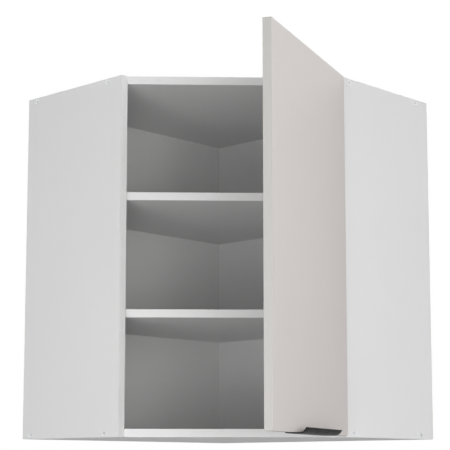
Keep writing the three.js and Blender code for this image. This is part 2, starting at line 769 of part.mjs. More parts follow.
// A bent channel: two cheeks, a web on top, and the cranks' two pivot pins.
function hingeArm() {
  const upperCheek = slab(armOutline(), ARM_INSIDE, ARM_OUTSIDE);
  const lowerCheek = slab(armOutline(), -ARM_OUTSIDE, -ARM_INSIDE);
  const reach = ARM_INSIDE + ARM_SHEET / 2;
  const web = slab(armWebOutline(), -reach, reach);
  const pins = [INNER_PIVOT_RISE, OUTER_PIVOT_RISE].map((rise) => rod(
    PIN_RADIUS,
    [AXIS_BEHIND_FRONT, rise, -reach],
    [AXIS_BEHIND_FRONT, rise, reach],
  ));
  return join(upperCheek, lowerCheek, web, ...pins);
}

// Screw heights on one hinge's mounting plate.
function plateScrewHeights(height) {
  return [-1, 1].map((end) => height + end * PLATE_SCREW_SPACING / 2);
}

// The mounting plate, in the arm's frame: a cross-shaped base and the rail
// that the arm's channel sits over.
function mountingPlate() {
  const base = block(
    [PLATE_START, 0, -PLATE_BASE_HALF_WIDTH],
    [PLATE_END, PLATE_BASE, PLATE_BASE_HALF_WIDTH],
  );
  const wings = slab(
    roundedRectangle(
      PLATE_CENTRE - PLATE_WING_WIDTH / 2,
      PLATE_CENTRE + PLATE_WING_WIDTH / 2,
      -PLATE_WING_HALF_LENGTH,
      PLATE_WING_HALF_LENGTH,
      PLATE_WING_CORNER,
    ),
    0,
    PLATE_BASE,
  ).rotateX(Math.PI / 2).translate(0, PLATE_BASE, 0);
  const rail = block(
    [PLATE_START, PLATE_BASE / 2, -ARM_INSIDE + LINK_GAP],
    [PLATE_END, ARM_LOW_TOP - ARM_SHEET - SEAT_GAP, ARM_INSIDE - LINK_GAP],
  );
  const holes = [-1, 1].map((end) => {
    const z = end * PLATE_SCREW_SPACING / 2;
    return rod(
      PLATE_SCREW_RADIUS + SEAT_GAP,
      [PLATE_CENTRE, -CUT_MARGIN, z],
      [PLATE_CENTRE, PLATE_BASE + CUT_MARGIN, z],
    );
  });
  return cut(join(base, wings, rail), ...holes);
}

// A plate screw along +y, its head's underside on the plate.
function plateScrew() {
  const seat = PLATE_BASE + SEAT_GAP;
  const top = seat + PLATE_SCREW_HEAD_HEIGHT;
  return turned([
    [0, -PLATE_SCREW_DEPTH],
    [PLATE_SCREW_RADIUS, -PLATE_SCREW_DEPTH + PLATE_SCREW_RADIUS],
    [PLATE_SCREW_RADIUS, seat],
    [PLATE_SCREW_HEAD_RADIUS, seat],
    [PLATE_SCREW_HEAD_RADIUS, top - SCREW_HEAD_BEVEL],
    [PLATE_SCREW_HEAD_RADIUS - SCREW_HEAD_BEVEL, top],
    [PLATE_SCREW_SOCKET_RADIUS, top],
    [PLATE_SCREW_SOCKET_RADIUS, top - PLATE_SCREW_SOCKET_DEPTH],
    [0, top - PLATE_SCREW_SOCKET_DEPTH],
  ], ROUND_SMALL);
}

// The cup in the door's frame: a pot with a rim and two screw wings, and the
// two pins that the bars turn on.
function hingeCup() {
  const inner = CUP_RADIUS - CUP_WALL;
  const pot = turned([
    [0, -CUP_DEPTH],
    [CUP_RADIUS, -CUP_DEPTH],
    [CUP_RADIUS, SEAT_GAP],
    [CUP_RIM_RADIUS, SEAT_GAP],
    [CUP_RIM_RADIUS, SEAT_GAP + CUP_FLANGE],
    [inner, SEAT_GAP + CUP_FLANGE],
    [inner, -CUP_DEPTH + CUP_FLOOR],
    [0, -CUP_DEPTH + CUP_FLOOR],
  ], ROUND_FINE);
  const wings = slab(
    roundedRectangle(
      -CUP_WING_OFFSET - CUP_WING_WIDTH / 2,
      -CUP_WING_OFFSET + CUP_WING_WIDTH / 2,
      -CUP_WING_HALF_LENGTH,
      CUP_WING_HALF_LENGTH,
      CUP_WING_CORNER,
    ),
    0,
    CUP_FLANGE,
  ).rotateX(Math.PI / 2).translate(0, SEAT_GAP + CUP_FLANGE, 0);
  const mouth = rod(inner, [0, 0, 0], [0, CUT_MARGIN, 0], ROUND_FINE);
  const screwHolesInWings = [-1, 1].map((end) => {
    const z = end * CUP_SCREW_SPACING / 2;
    return rod(CUP_SCREW_HOLE_RADIUS, [-CUP_WING_OFFSET, -CUT_MARGIN, z], [-CUP_WING_OFFSET, CUT_MARGIN, z]);
  });
  const flange = cut(wings, mouth, ...screwHolesInWings);
  const pins = [CRANK_NEAR_PIN, CRANK_FAR_PIN].map((reach) => {
    const x = -reach * Math.cos(TILT) - CUP_CENTRE;
    const y = reach * Math.sin(TILT) - DOOR_INNER_FACE;
    const half = Math.sqrt(inner * inner - x * x) + CUP_WALL / 2;
    return rod(PIN_RADIUS, [x, y, -half], [x, y, half]);
  });
  return join(pot, flange, ...pins);
}

// Everything on the side panel's part of one hinge, and its links.
function placeHingeOnPanel(name, height, parent) {
  const group = new THREE.Group();
  group.position.set(INNER_FACE, -SIDE_DEPTH, height);
  group.rotation.z = Math.PI / 2;
  parent.add(group);
  place(`${name}_hinge_arm`, hingeArm(), NICKEL, group);
  place(`${name}_hinge_plate`, mountingPlate(), NICKEL, group);
  ['lower', 'upper'].forEach((end, index) => {
    const screw = place(`${name}_hinge_plate_${end}_screw`, plateScrew(), ZINC, group);
    screw.position.set(PLATE_CENTRE, 0, (index - 0.5) * PLATE_SCREW_SPACING);
  });
  // The closed cranks lie along the front, which is turned 135 degrees from
  // this frame's x axis.
  const crankAngle = Math.PI * 0.75 - TILT + OPEN;
  for (const [crankName, rise] of [['inner', INNER_PIVOT_RISE], ['outer', OUTER_PIVOT_RISE]]) {
    const mesh = place(`${name}_hinge_${crankName}_crank`, crank(), NICKEL, group);
    mesh.position.set(AXIS_BEHIND_FRONT, rise, 0);
    mesh.rotation.z = crankAngle;
  }
  for (const [barName, reach] of [['near', CRANK_NEAR_PIN], ['far', CRANK_FAR_PIN]]) {
    const mesh = place(`${name}_hinge_${barName}_bar`, bar(), NICKEL, group);
    mesh.position.set(
      AXIS_BEHIND_FRONT + reach * Math.cos(crankAngle),
      INNER_PIVOT_RISE + reach * Math.sin(crankAngle),
      0,
    );
    mesh.rotation.z = -Math.PI / 2;
  }
}

function placeDoor(parent) {
  const door = new THREE.Group();
  door.position.set(INNER_FACE + AXIS_INTO_PANEL, -SIDE_DEPTH + AXIS_BEHIND_FRONT, 0);
  door.rotation.z = Math.PI / 4 + OPEN;
  parent.add(door);
  place('door_panel', doorPanel(), GREIGE_BOARD, door);
  place('edge_pull', edgePull(), BLACK_METAL, door);
  for (const [name, height] of Object.entries(HINGE_HEIGHTS)) {
    const cup = place(`${name}_hinge_cup`, hingeCup(), NICKEL, door);
    cup.position.set(CUP_CENTRE, DOOR_INNER_FACE, height);
  }
  const bumperHeights = {
    lower: DOOR_BOTTOM + BUMPER_FROM_END,
    upper: DOOR_BOTTOM + DOOR_HEIGHT - BUMPER_FROM_END,
  };
  for (const [name, height] of Object.entries(bumperHeights)) {
    const dome = place(`${name}_door_bumper`, bumper(), CLEAR_RUBBER, door);
    dome.position.set(DOOR_FREE_EDGE + BUMPER_FROM_EDGE, DOOR_INNER_FACE + SEAT_GAP, height);
  }
}

// --------------------------------------------------------------- hangers ----

function hangerMiddle() {
  return HANGER_FROM_WALL + HANGER_LENGTH / 2;
}

function dowelHeights() {
  return [-1, 1].map((end) => HANGER_MIDDLE + end * HANGER_DOWEL_SPACING / 2);
}

function adjusterHeights() {
  return [-1, 1].map((end) => HANGER_MIDDLE + end * ADJUSTER_SPACING / 2);
}

// The hanger's case on one side panel: bevelled front corners, a slot for the
// hook, holes for the adjusting screws, and two dowels into the panel.
function hangerCase(side) {
  const front = HANGER_FROM_WALL + HANGER_LENGTH;
  const bottom = HANGER_TOP - HANGER_HEIGHT;
  const bodyParts = [
    block(
      side.at(HANGER_FROM_WALL, SEAT_GAP, bottom),
      side.at(front - HANGER_BEVEL, HANGER_THICKNESS, HANGER_TOP),
    ),
    block(
      side.at(front - HANGER_BEVEL - JOIN_OVERLAP, SEAT_GAP, bottom + HANGER_BEVEL),
      side.at(front, HANGER_THICKNESS - HANGER_BEVEL, HANGER_TOP - HANGER_BEVEL),
    ),
  ];
  const dowels = dowelHeights().map((z) => rod(
    HANGER_DOWEL_RADIUS,
    side.at(hangerMiddle(), -HANGER_DOWEL_DEPTH, z),
    side.at(hangerMiddle(), SEAT_GAP + JOIN_OVERLAP, z),
    ROUND,
  ));
  const [hookLow, hookHigh] = hookFaces();
  const halfSlot = HANGER_SLOT_HEIGHT / 2;
  const slot = block(
    side.at(HANGER_FROM_WALL - CUT_MARGIN, hookLow - SEAT_GAP, HANGER_MIDDLE - halfSlot),
    side.at(HANGER_FROM_WALL + HANGER_SLOT_DEPTH, hookHigh + SEAT_GAP, HANGER_MIDDLE + halfSlot),
  );
  const screwBores = adjusterHeights().map((z) => rod(
    ADJUSTER_RADIUS + SEAT_GAP,
    side.at(front + CUT_MARGIN, adjusterInset(), z),
    side.at(front - ADJUSTER_DEPTH - SEAT_GAP, adjusterInset(), z),
  ));
  return cut(join(...bodyParts, ...dowels), slot, ...screwBores);
}

// The hook's two faces, inwards from the side panel.
function hookFaces() {
  const middle = HANGER_THICKNESS / 2;
  return [middle - HOOK_THICKNESS / 2, middle + HOOK_THICKNESS / 2];
}

function adjusterInset() {
  return (HANGER_THICKNESS - HANGER_BEVEL) / 2;
}

// A steel plate that reaches out of the case and hooks down over the wall rail.
function hangerHook(side) {
  const [low, high] = hookFaces();
  const top = HANGER_MIDDLE + HOOK_HEIGHT / 2;
  const plate = block(
    side.at(HOOK_FROM_WALL, low, HANGER_MIDDLE - HOOK_HEIGHT / 2),
    side.at(HANGER_FROM_WALL + HANGER_SLOT_DEPTH - HOOK_PLAY, high, top),
  );
  const tooth = block(
    side.at(HOOK_FROM_WALL, low, HANGER_MIDDLE - HOOK_HEIGHT / 2 - HOOK_TOOTH_DROP),
    side.at(HOOK_FROM_WALL + HOOK_TOOTH_WIDTH, high, top),
  );
  return join(plate, tooth);
}

// An adjusting screw along +y, its head's underside at y = 0.
function adjuster() {
  const top = ADJUSTER_HEAD_HEIGHT;
  return turned([
    [0, -ADJUSTER_DEPTH + SEAT_GAP],
    [ADJUSTER_RADIUS, -ADJUSTER_DEPTH + SEAT_GAP],
    [ADJUSTER_RADIUS, 0],
    [ADJUSTER_HEAD_RADIUS, 0],
    [ADJUSTER_HEAD_RADIUS, top - SCREW_HEAD_BEVEL],
    [ADJUSTER_HEAD_RADIUS - SCREW_HEAD_BEVEL, top],
    [ADJUSTER_SOCKET_RADIUS, top],
    [ADJUSTER_SOCKET_RADIUS, top - ADJUSTER_SOCKET_DEPTH],
    [0, top - ADJUSTER_SOCKET_DEPTH],
  ], ROUND_SMALL);
}

function placeHangers(parent) {
  for (const [name, side] of Object.entries(SIDES)) {
    place(`${name}_hanger_case`, hangerCase(side), WHITE_PLASTIC, parent);
    place(`${name}_hanger_hook`, hangerHook(side), ZINC, parent);
    adjusterHeights().forEach((height, index) => {
      const screw = place(`${name}_hanger_screw_${index + 1}`, adjuster(), ZINC, parent);
      const seat = HANGER_FROM_WALL + HANGER_LENGTH + SEAT_GAP;
      pointAlong(screw, side.at(seat, adjusterInset(), height), side.awayFromWall);
    });
  }
}

// ---------------------------------------------------------------- cabinet ----

function buildCabinet() {
  const cabinet = new THREE.Group();
  place('left_side_panel', leftSidePanel(), WHITE_BOARD, cabinet);
  place('right_side_panel', rightSidePanel(), WHITE_BOARD, cabinet);
  place('bottom_panel', bottomPanel(), WHITE_BOARD, cabinet);
  place('top_panel', topPanel(), WHITE_BOARD, cabinet);
  place('back_board', backBoard(), WHITE_BOARD, cabinet);
  place('hardboard_back', hardboardBack(), WHITE_HARDBOARD, cabinet);
  SHELF_UNDERSIDES.forEach((underside, level) => {
    place(SHELF_NAMES[level], shelf(underside), WHITE_BOARD, cabinet);
  });
  for (const { name, position, direction } of carcassScrewPlaces()) {
    pointAlong(place(name, carcassScrew(), ZINC, cabinet), position, direction);
  }
  placePegs(cabinet);
  placeHangers(cabinet);
  for (const [name, height] of Object.entries(HINGE_HEIGHTS)) {
    placeHingeOnPanel(name, height, cabinet);
  }
  placeDoor(cabinet);
  return cabinet;
}

export default buildCabinet();
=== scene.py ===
"""Looks of a diagonal-front corner wall cabinet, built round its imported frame.

Metres, +Z up, in the part's own frame: the origin is the foot of the room corner,
the right wall runs along +X, the left wall along -Y, and the underside is z = 0.
"""

import json
import math

import bmesh
import bpy
import numpy as np
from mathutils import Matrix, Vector

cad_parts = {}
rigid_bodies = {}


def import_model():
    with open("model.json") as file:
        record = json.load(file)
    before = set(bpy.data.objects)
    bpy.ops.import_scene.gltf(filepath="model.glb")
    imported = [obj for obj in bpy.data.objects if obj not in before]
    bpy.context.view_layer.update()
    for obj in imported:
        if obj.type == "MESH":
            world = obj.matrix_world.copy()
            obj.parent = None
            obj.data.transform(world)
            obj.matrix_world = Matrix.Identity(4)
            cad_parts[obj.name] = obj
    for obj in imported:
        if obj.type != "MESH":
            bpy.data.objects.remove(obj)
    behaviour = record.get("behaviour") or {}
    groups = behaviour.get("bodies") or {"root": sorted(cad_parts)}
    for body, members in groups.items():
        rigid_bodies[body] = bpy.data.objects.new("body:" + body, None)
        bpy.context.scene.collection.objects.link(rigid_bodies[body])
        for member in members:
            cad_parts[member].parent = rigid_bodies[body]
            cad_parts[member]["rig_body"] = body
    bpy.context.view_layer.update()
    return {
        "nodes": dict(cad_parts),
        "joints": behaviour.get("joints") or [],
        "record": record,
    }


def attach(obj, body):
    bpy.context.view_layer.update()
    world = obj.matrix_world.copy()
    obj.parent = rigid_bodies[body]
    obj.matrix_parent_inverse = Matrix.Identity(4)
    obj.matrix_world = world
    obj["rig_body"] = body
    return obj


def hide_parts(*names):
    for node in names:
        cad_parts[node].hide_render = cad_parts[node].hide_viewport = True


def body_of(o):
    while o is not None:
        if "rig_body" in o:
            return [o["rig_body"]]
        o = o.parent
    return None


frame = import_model()

MM = 0.001

# ------------------------------------------------------------------ sizes ----

# Carcass
WALL_LENGTH = 600 * MM
HEIGHT = 716 * MM
SIDE_DEPTH = 290 * MM
BOARD = 16 * MM
INNER_FACE = WALL_LENGTH - BOARD
FRONT_SUM = INNER_FACE + SIDE_DEPTH  # x - y on the front edges of top and bottom
SHELF_SETBACK = 10 * MM
SHELF_FRONT_SUM = FRONT_SUM - SHELF_SETBACK * math.sqrt(2)
COMPARTMENT = (HEIGHT - 4 * BOARD) / 3  # clear height between two boards
BAND = 0.8 * MM  # edge banding
HARDBOARD_MIDDLE = 25.5 * MM  # from the left wall
SEAT = 0.3 * MM  # between a piece and what it sits in or on

# Carcass screws
SCREW_LENGTH = 50 * MM
SCREW_HEAD_RADIUS = 5 * MM
SCREW_HEAD_HEIGHT = 4 * MM
SCREW_SHANK_RADIUS = 3.5 * MM
SCREW_SHANK_LENGTH = 12 * MM
SCREW_CORE_RADIUS = 2.3 * MM
SCREW_THREAD_RADIUS = 3.1 * MM
SCREW_PITCH = 3 * MM
SCREW_SOCKET = 2 * MM  # half the distance across the flats
SCREW_SOCKET_DEPTH = 2.6 * MM
SCREW_SOCKET_BEVEL = (0.55 * MM, 0.15 * MM)  # width and depth
SCREW_RIM = 0.2 * MM
SCREW_POINT = 3 * MM
SCREW_STOPS = 2.4  # radians from where one screw stopped turning to where the next did
SCREW_PLACES = {  # from the wall: next to the wall, next to the front
    "left": (26 * MM, SIDE_DEPTH - 41 * MM),
    "right": (41 * MM, SIDE_DEPTH - 26 * MM),
}
BACK_SCREW_PLACES = (150 * MM, 450 * MM)  # from the left wall
BACK_BOARD_MIDDLE = 35 * MM  # from the right wall
BACK_BOARD_FACE = 43 * MM

# Shelf pegs
SHELF_UNDERSIDES = {"lower": BOARD + COMPARTMENT, "upper": 2 * (BOARD + COMPARTMENT)}
PEG_RADIUS = 2.5 * MM
PEG_DEPTH = 8 * MM
PEG_REACH = 9 * MM
SPADE_WIDTH = 8 * MM
SPADE_THICKNESS = 2 * MM
PEG_DROP = SPADE_THICKNESS + PEG_RADIUS / 2
PEG_NOSE = 0.6 * MM  # taken off the peg's inner end and the spade's edges
PEG_EDGE = 0.5 * MM
PEG_PLACES = {"wall": 72 * MM, "front": 242 * MM}
BACK_PEG_PLACE = 190 * MM

# Door, in its own frame: origin on the hinge axis, x from the free edge towards the
# hinge side, y from the outer face towards the inner face
DOOR_OPEN = math.radians(66)
DOOR_TURN = math.radians(45) + DOOR_OPEN
DOOR_AXIS = Vector(next(j["pos_m"] for j in frame["joints"] if j["name"] == "door_hinge"))
AXIS_BEHIND_FRONT = 0.5 * MM
AXIS_INTO_PANEL = 11 * MM
DOOR_SIDE_GAP = 1.4 * MM
DOOR_FRONT_GAP = 2.5 * MM
DOOR_HINGE_EDGE = -(AXIS_INTO_PANEL + AXIS_BEHIND_FRONT) * math.sqrt(0.5) - DOOR_SIDE_GAP
DOOR_WIDTH = (INNER_FACE - SIDE_DEPTH) * math.sqrt(2) - 2 * DOOR_SIDE_GAP
DOOR_FREE_EDGE = DOOR_HINGE_EDGE - DOOR_WIDTH
DOOR_THICKNESS = 16 * MM
DOOR_INNER = (AXIS_INTO_PANEL - AXIS_BEHIND_FRONT) * math.sqrt(0.5) - DOOR_FRONT_GAP
DOOR_OUTER = DOOR_INNER - DOOR_THICKNESS
DOOR_BOTTOM = 2 * MM
DOOR_TOP = 713 * MM
HINGE_FROM_END = 100 * MM
HINGE_HEIGHTS = {"lower": DOOR_BOTTOM + HINGE_FROM_END, "upper": DOOR_TOP - HINGE_FROM_END}

# Edge pull
PULL_LENGTH = 200 * MM
PULL_SHEET = 1.5 * MM
PULL_FLANGE = 18 * MM
PULL_REACH = 8 * MM
PULL_LIP = 14.2 * MM
PULL_SWEEP = math.radians(66)
PULL_BEND = 1.6 * MM  # middle radius of the bend behind the door
PULL_SCREWS = 160 * MM

# Round screw heads with a cross recess: radius, height, recess
PULL_SCREW_HEAD = (3.2 * MM, 0.5 * MM, 0.4 * MM)
CUP_SCREW_HEAD = (3.6 * MM, 1.1 * MM, 0.8 * MM)
ARM_SCREW_HEAD = (3.4 * MM, 1.4 * MM, 0.9 * MM)
HEAD_FALL = 0.35  # of the height, from the middle of the dome to its rim
HEAD_RIM_FROM = 0.8  # of the radius, as the next four are
CROSS_HALF_ARM = 0.17
CROSS_WALL = 0.05
CROSS_REACH = 0.62
CROSS_RUN_OUT = 0.25

# Hinges
PIVOT_RISES = {"inner": 17.5 * MM, "outer": 7.5 * MM}
CRANK_PINS = {"near": 28 * MM, "far": 38 * MM}
CRANK_TILT = math.radians(2.7)
CRANK_TURN = math.radians(135) + DOOR_OPEN - CRANK_TILT
CRANK_OUTSIDE = 3.2 * MM
PIN_RADIUS = 1.5 * MM
ARM_OUTSIDE = 5.15 * MM
ARM_TOP = 13 * MM
ARM_SCREW_PLACES = (30 * MM, 50 * MM)  # behind the side panel's front edge
RIVET_RADIUS = 2.1 * MM
RIVET_RIM = 0.1 * MM
RIVET_RISES = {"arm": 0.6 * MM, "crank": 0.3 * MM}
CUP_RADIUS = 17.5 * MM
CUP_INSIDE = 16.2 * MM
CUP_RIM = 19.3 * MM
CUP_DEPTH = 11.2 * MM
CUP_SHEET = 1 * MM
CUP_HEEL = 1.5 * MM  # radii inside, over the mouth, on the flange's border and outside below
CUP_MOUTH = 0.7 * MM
CUP_BORDER = 0.45 * MM
CUP_FOOT = 0.8 * MM
CUP_STEP = (6 * MM, 0.5 * MM, 0.3 * MM)  # pressed step: radius, slope's width, height
CUP_CENTRE = DOOR_HINGE_EDGE - 22.5 * MM
CUP_FLANGE = 1.2 * MM
CUP_WING_OFFSET = 6 * MM
CUP_WING_HALF = (8 * MM, 29 * MM)
CUP_WING_CORNER = 5 * MM
CUP_SCREWS = 45 * MM

# Door bumpers
BUMPER_RADIUS = 4 * MM
BUMPER_HEIGHT = 1.9 * MM
BUMPER_RIM = 0.35 * BUMPER_HEIGHT
BUMPER_FROM_EDGE = 20 * MM
BUMPER_FROM_END = 6.5 * MM

# Camera, fitted to the photograph's straight edges
CAMERA_PLACE = Vector((2.3299, -2.4656, -0.0627))
CAMERA_HEADING = 2.3265  # radians from +X
CAMERA_RISE = 0.1393  # radians above level
PHOTO_PIXELS = 450
FOCAL_PIXELS = 1426.5
SENSOR_WIDTH = 36.0
SHIFT_Y = 0.10

# Light levels: what a facing pure white surface would show, 1 being white
WORLD_LEVEL = 0.30
SOFTBOXES = (  # name, azimuth, elevation, size in metres, level
    ("left_softbox", -32, 12, 2.0, 0.165),
    ("right_softbox", 122, 12, 2.0, 0.176),
    ("top_softbox", 45, 88, 2.0, 0.20),
    ("front_softbox", 45, -2, 1.2, 0.065),
    ("front_right_softbox", 65, -2, 1.2, 0.31),
    ("low_left_softbox", 25, -25, 1.2, 0.227),
    ("low_front_softbox", 45, -12, 1.2, 0.215),
    ("rear_left_softbox", 255, 20, 2.0, 0.30),
    ("rear_right_softbox", 195, 20, 2.0, 0.30),
)
SOFTBOX_DISTANCE = 3.2
FLOOR_HEIGHT = -1.6
FLOOR_SIZE = 200.0
FLOOR_COLOUR = 0.28  # low, so that little light comes back up onto the underside
FLOOR_GLOW = (0.70, 0.91)  # near and far, only in what the camera, mirrors and glass see
FLOOR_GLOW_REACH = (2.5, 14.0)
ROOM_CENTRE = Vector((0.33, -0.33, 0.36))


# ------------------------------------------------------------ mesh making ----

SHARP_FROM = math.radians(38)  # edges that turn by more than this stay sharp


class Grid:
    """A sheet of points, points[i, j] being the place of parameters i and j.

    Neighbouring points make quads. close_u and close_v join the last row or column
    to the first, and caps names the rows (0 or -1) that one face fills.
    """

    def __init__(self, points, close_u=False, close_v=False, caps=()):
        self.points = points
        self.close_u = close_u
        self.close_v = close_v
        self.caps = caps

    def faces(self, start):
        rows, columns = self.points.shape[:2]
        i = np.arange(rows if self.close_u else rows - 1)
        j = np.arange(columns if self.close_v else columns - 1)
        a, b = np.meshgrid(i, j, indexing="ij")
        a2, b2 = (a + 1) % rows, (b + 1) % columns
        corners = (a * columns + b, a2 * columns + b, a2 * columns + b2, a * columns + b2)
        faces = (np.stack(corners, -1).reshape(-1, 4) + start).tolist()
        for row in self.caps:
            ring = np.arange(columns) + (row % rows) * columns + start
            faces.append((ring if row == 0 else ring[::-1]).tolist())
        return faces

    def placed(self, mapping):
        return Grid(mapping(self.points), self.close_u, self.close_v, self.caps)


def make_mesh(name, grids):
    """One object from some grids. Points that fall together, as at a pole, are merged."""
    points, faces = [], []
    start = 0
    for grid in grids:
        faces += grid.faces(start)
        points.append(grid.points.reshape(-1, 3))
        start += len(points[-1])
    mesh = bpy.data.meshes.new(name)
    mesh.from_pydata(np.concatenate(points).tolist(), [], faces)
    work = bmesh.new()
    work.from_mesh(mesh)
    bmesh.ops.remove_doubles(work, verts=work.verts, dist=1e-6)
    bmesh.ops.dissolve_degenerate(work, edges=work.edges, dist=1e-7)
    bmesh.ops.recalc_face_normals(work, faces=work.faces)
    for face in work.faces:
        face.smooth = True
    for edge in work.edges:
        edge.smooth = edge.calc_face_angle(0) < SHARP_FROM
    work.to_mesh(mesh)
    work.free()
    made = bpy.data.objects.new(name, mesh)
    bpy.context.scene.collection.objects.link(made)
    return made


def arc(centre, radius, start, end, steps):
    """Points on a circle from one angle to another, both included."""
    angle = np.linspace(start, end, steps + 1)
    return np.array(centre) + radius * np.stack([np.cos(angle), np.sin(angle)], -1)


def turned(profile, segments=40):
    """A turned piece about z: (r cos a, r sin a, z) for each (r, z) of the profile."""
    angle = np.linspace(0, 2 * math.pi, segments, endpoint=False)
    r, z = np.array(profile, dtype=float).T[:, :, None]
    points = np.stack([r * np.cos(angle), r * np.sin(angle), z + 0 * angle], -1)
    return Grid(points, close_v=True)


def rounded_block(low, high, radius, steps=4):
    """A box with rounded edges: the core's corner on the side that n looks to, plus r n.

    n is the unit vector (cos t cos a, cos t sin a, sin t) of turn a and tilt t.
    """
    low, high = np.array(low), np.array(high)
    quarter = np.linspace(0, math.pi / 2, steps + 1)
    turn = np.concatenate([quarter + q * math.pi / 2 for q in range(4)])
    x_side = np.repeat([1, -1, -1, 1], steps + 1)
    y_side = np.repeat([1, 1, -1, -1], steps + 1)
    tilt = np.concatenate([quarter - math.pi / 2, quarter])
    z_side = np.repeat([-1, 1], steps + 1)
    t, a = np.meshgrid(tilt, turn, indexing="ij")
    n = np.stack([np.cos(t) * np.cos(a), np.cos(t) * np.sin(a), np.sin(t)], -1)
    side = np.stack(np.broadcast_arrays(x_side[None, :], y_side[None, :], z_side[:, None]), -1)
    points = (low + high) / 2 + side * ((high - low) / 2 - radius) + radius * n
    return Grid(points, close_v=True, caps=(0, -1))


def sheet_on_line(line, thickness, length, edge):
    """A bent strip: a line of points carried straight along, with rounded borders.

    line holds points (x, y) along the sheet's middle. Parameter u runs along the
    line, over one face and back under the other, and v along the length. The half
    thickness at distance d from the nearest border is (t / 2) sqrt(1 - (1 - d / r)^2)
    for d < r, so both faces meet in a half-round border. Gives points (x, y, along).
    """
    step = np.gradient(line, axis=0)
    normal = np.stack([-step[:, 1], step[:, 0]], -1)
    normal /= np.linalg.norm(normal, axis=1, keepdims=True)
    run = np.concatenate([[0], np.cumsum(np.linalg.norm(np.diff(line, axis=0), axis=1))])
    close = edge * (1 - np.cos(np.linspace(0, math.pi / 2, 6)))
    between = np.linspace(edge, length - edge, 9)[1:-1]
    along = np.concatenate([close, between, length - close[::-1]])
    from_side = np.minimum(run, run[-1] - run)[:, None]
    from_end = np.minimum(along, length - along)[None, :]
    nearest = np.minimum(np.minimum(from_side, from_end), edge)
    half = thickness / 2 * np.sqrt(np.maximum(0, 1 - (1 - nearest / edge) ** 2))
    faces = []
    for side in (1, -1):
        place = line[:, None, :] + side * half[..., None] * normal[:, None, :]
        ends = np.broadcast_to(along[None, :, None], place.shape[:2] + (1,))
        faces.append(np.concatenate([place, ends], -1))
    return Grid(np.concatenate([faces[0], faces[1][::-1]], 0), close_u=True)


def cross_head(radius, height, recess, rings=22, segments=64):
    """A round screw head with a cross recess, as height over the disc of (r, angle).

    The top is a shallow dome, h (1 - fall (r / R)^2), with its rim rounded off by a
    quarter circle. Where the distance to either arm of the cross is under the arm's
    half width, the top drops by the recess depth, which eases out towards the arm's
    end. The underside closes at height 0.
    """
    share = np.sin(np.linspace(0, math.pi / 2, rings))
    angle = np.linspace(0, 2 * math.pi, segments, endpoint=False)
    r, a = np.meshgrid(share, angle, indexing="ij")
    x, y = r * np.cos(a), r * np.sin(a)
    rim = np.clip((r - HEAD_RIM_FROM) / (1 - HEAD_RIM_FROM), 0, 1)
    top = height * (1 - HEAD_FALL * r ** 2) * np.sqrt(1 - rim ** 2)
    off_arm = np.minimum(np.abs(x), np.abs(y))
    reach = np.maximum(np.abs(x), np.abs(y))
    in_arm = np.clip((CROSS_HALF_ARM - off_arm) / CROSS_WALL, 0, 1)
    top = top - recess * in_arm * np.clip((CROSS_REACH - reach) / CROSS_RUN_OUT, 0, 1)
    upper = np.stack([radius * x, radius * y, top], -1)
    centre = np.zeros((1, segments, 3))
    return Grid(np.concatenate([upper, centre], 0), close_v=True)


def low_dome(radius, rim, height):
    """A low dome: r = R cos t, z = rim + (H - rim) sin t, on a short upright rim."""
    t = np.linspace(0, math.pi / 2, 9)
    dome = np.stack([radius * np.cos(t), rim + (height - rim) * np.sin(t)], -1)
    return turned([(0, 0), (radius, 0), *dome[:-1], (0, height)], 32)


def carcass_screw():
    """A countersunk screw, head at z = 0 and point down, with a hexagonal socket.

    The socket's radius is f / cos(a), a being the angle from the nearest flat. The
    thread's radius at depth z and turn a is core + rise (1 - |2 s - 1|), where s is
    the broken part of z / pitch + a / 2 pi, and both ends ease into the core.
    """
    segments = 36
    angle = np.linspace(0, 2 * math.pi, segments, endpoint=False)
    flat = (angle + math.pi / 6) % (math.pi / 3) - math.pi / 6
    socket = np.broadcast_to(SCREW_SOCKET / np.cos(flat), (2, segments))
    bevel_width, bevel_depth = SCREW_SOCKET_BEVEL
    socket_z = np.array([-SCREW_SOCKET_DEPTH, -bevel_depth])
    shoulder = -SCREW_SHANK_LENGTH - 0.3 * MM
    head = np.array([
        (SCREW_SOCKET + bevel_width, 0),
        (SCREW_HEAD_RADIUS - SCREW_RIM, 0),
        (SCREW_HEAD_RADIUS, -SCREW_RIM),
        (SCREW_SHANK_RADIUS, -SCREW_HEAD_HEIGHT),
        (SCREW_SHANK_RADIUS, -SCREW_SHANK_LENGTH),
        (SCREW_CORE_RADIUS, shoulder),
    ])
    start, end = shoulder - 0.2 * MM, -SCREW_LENGTH
    depth = np.linspace(start, end, 100)
    from_tip = np.clip((depth - end) / SCREW_POINT, 0, 1)
    ease = np.clip((start - depth) / SCREW_PITCH, 0, 1) * from_tip
    share = (depth[:, None] / SCREW_PITCH + angle[None, :] / (2 * math.pi)) % 1
    rise = (SCREW_THREAD_RADIUS - SCREW_CORE_RADIUS) * (1 - np.abs(2 * share - 1))
    thread = SCREW_CORE_RADIUS * from_tip[:, None] ** 0.6 + ease[:, None] * rise
    plain = np.ones((1, segments))
    radius = np.concatenate([0 * plain, socket, head[:, :1] * plain, thread])
    z = np.concatenate([[-SCREW_SOCKET_DEPTH], socket_z, head[:, 1], depth])[:, None] * plain
    return Grid(np.stack([radius * np.cos(angle), radius * np.sin(angle), z], -1), close_v=True)


# ------------------------------------------------------- frames of pieces ----

def along(origin, x_axis, y_axis, z_axis):
    """A mapping that puts a piece's own axes on the given ones, from an origin."""
    axes = np.array([x_axis, y_axis, z_axis], dtype=float)
    return lambda points: points @ axes + np.array(origin, dtype=float)


def then(first, second):
    return lambda points: second(first(points))


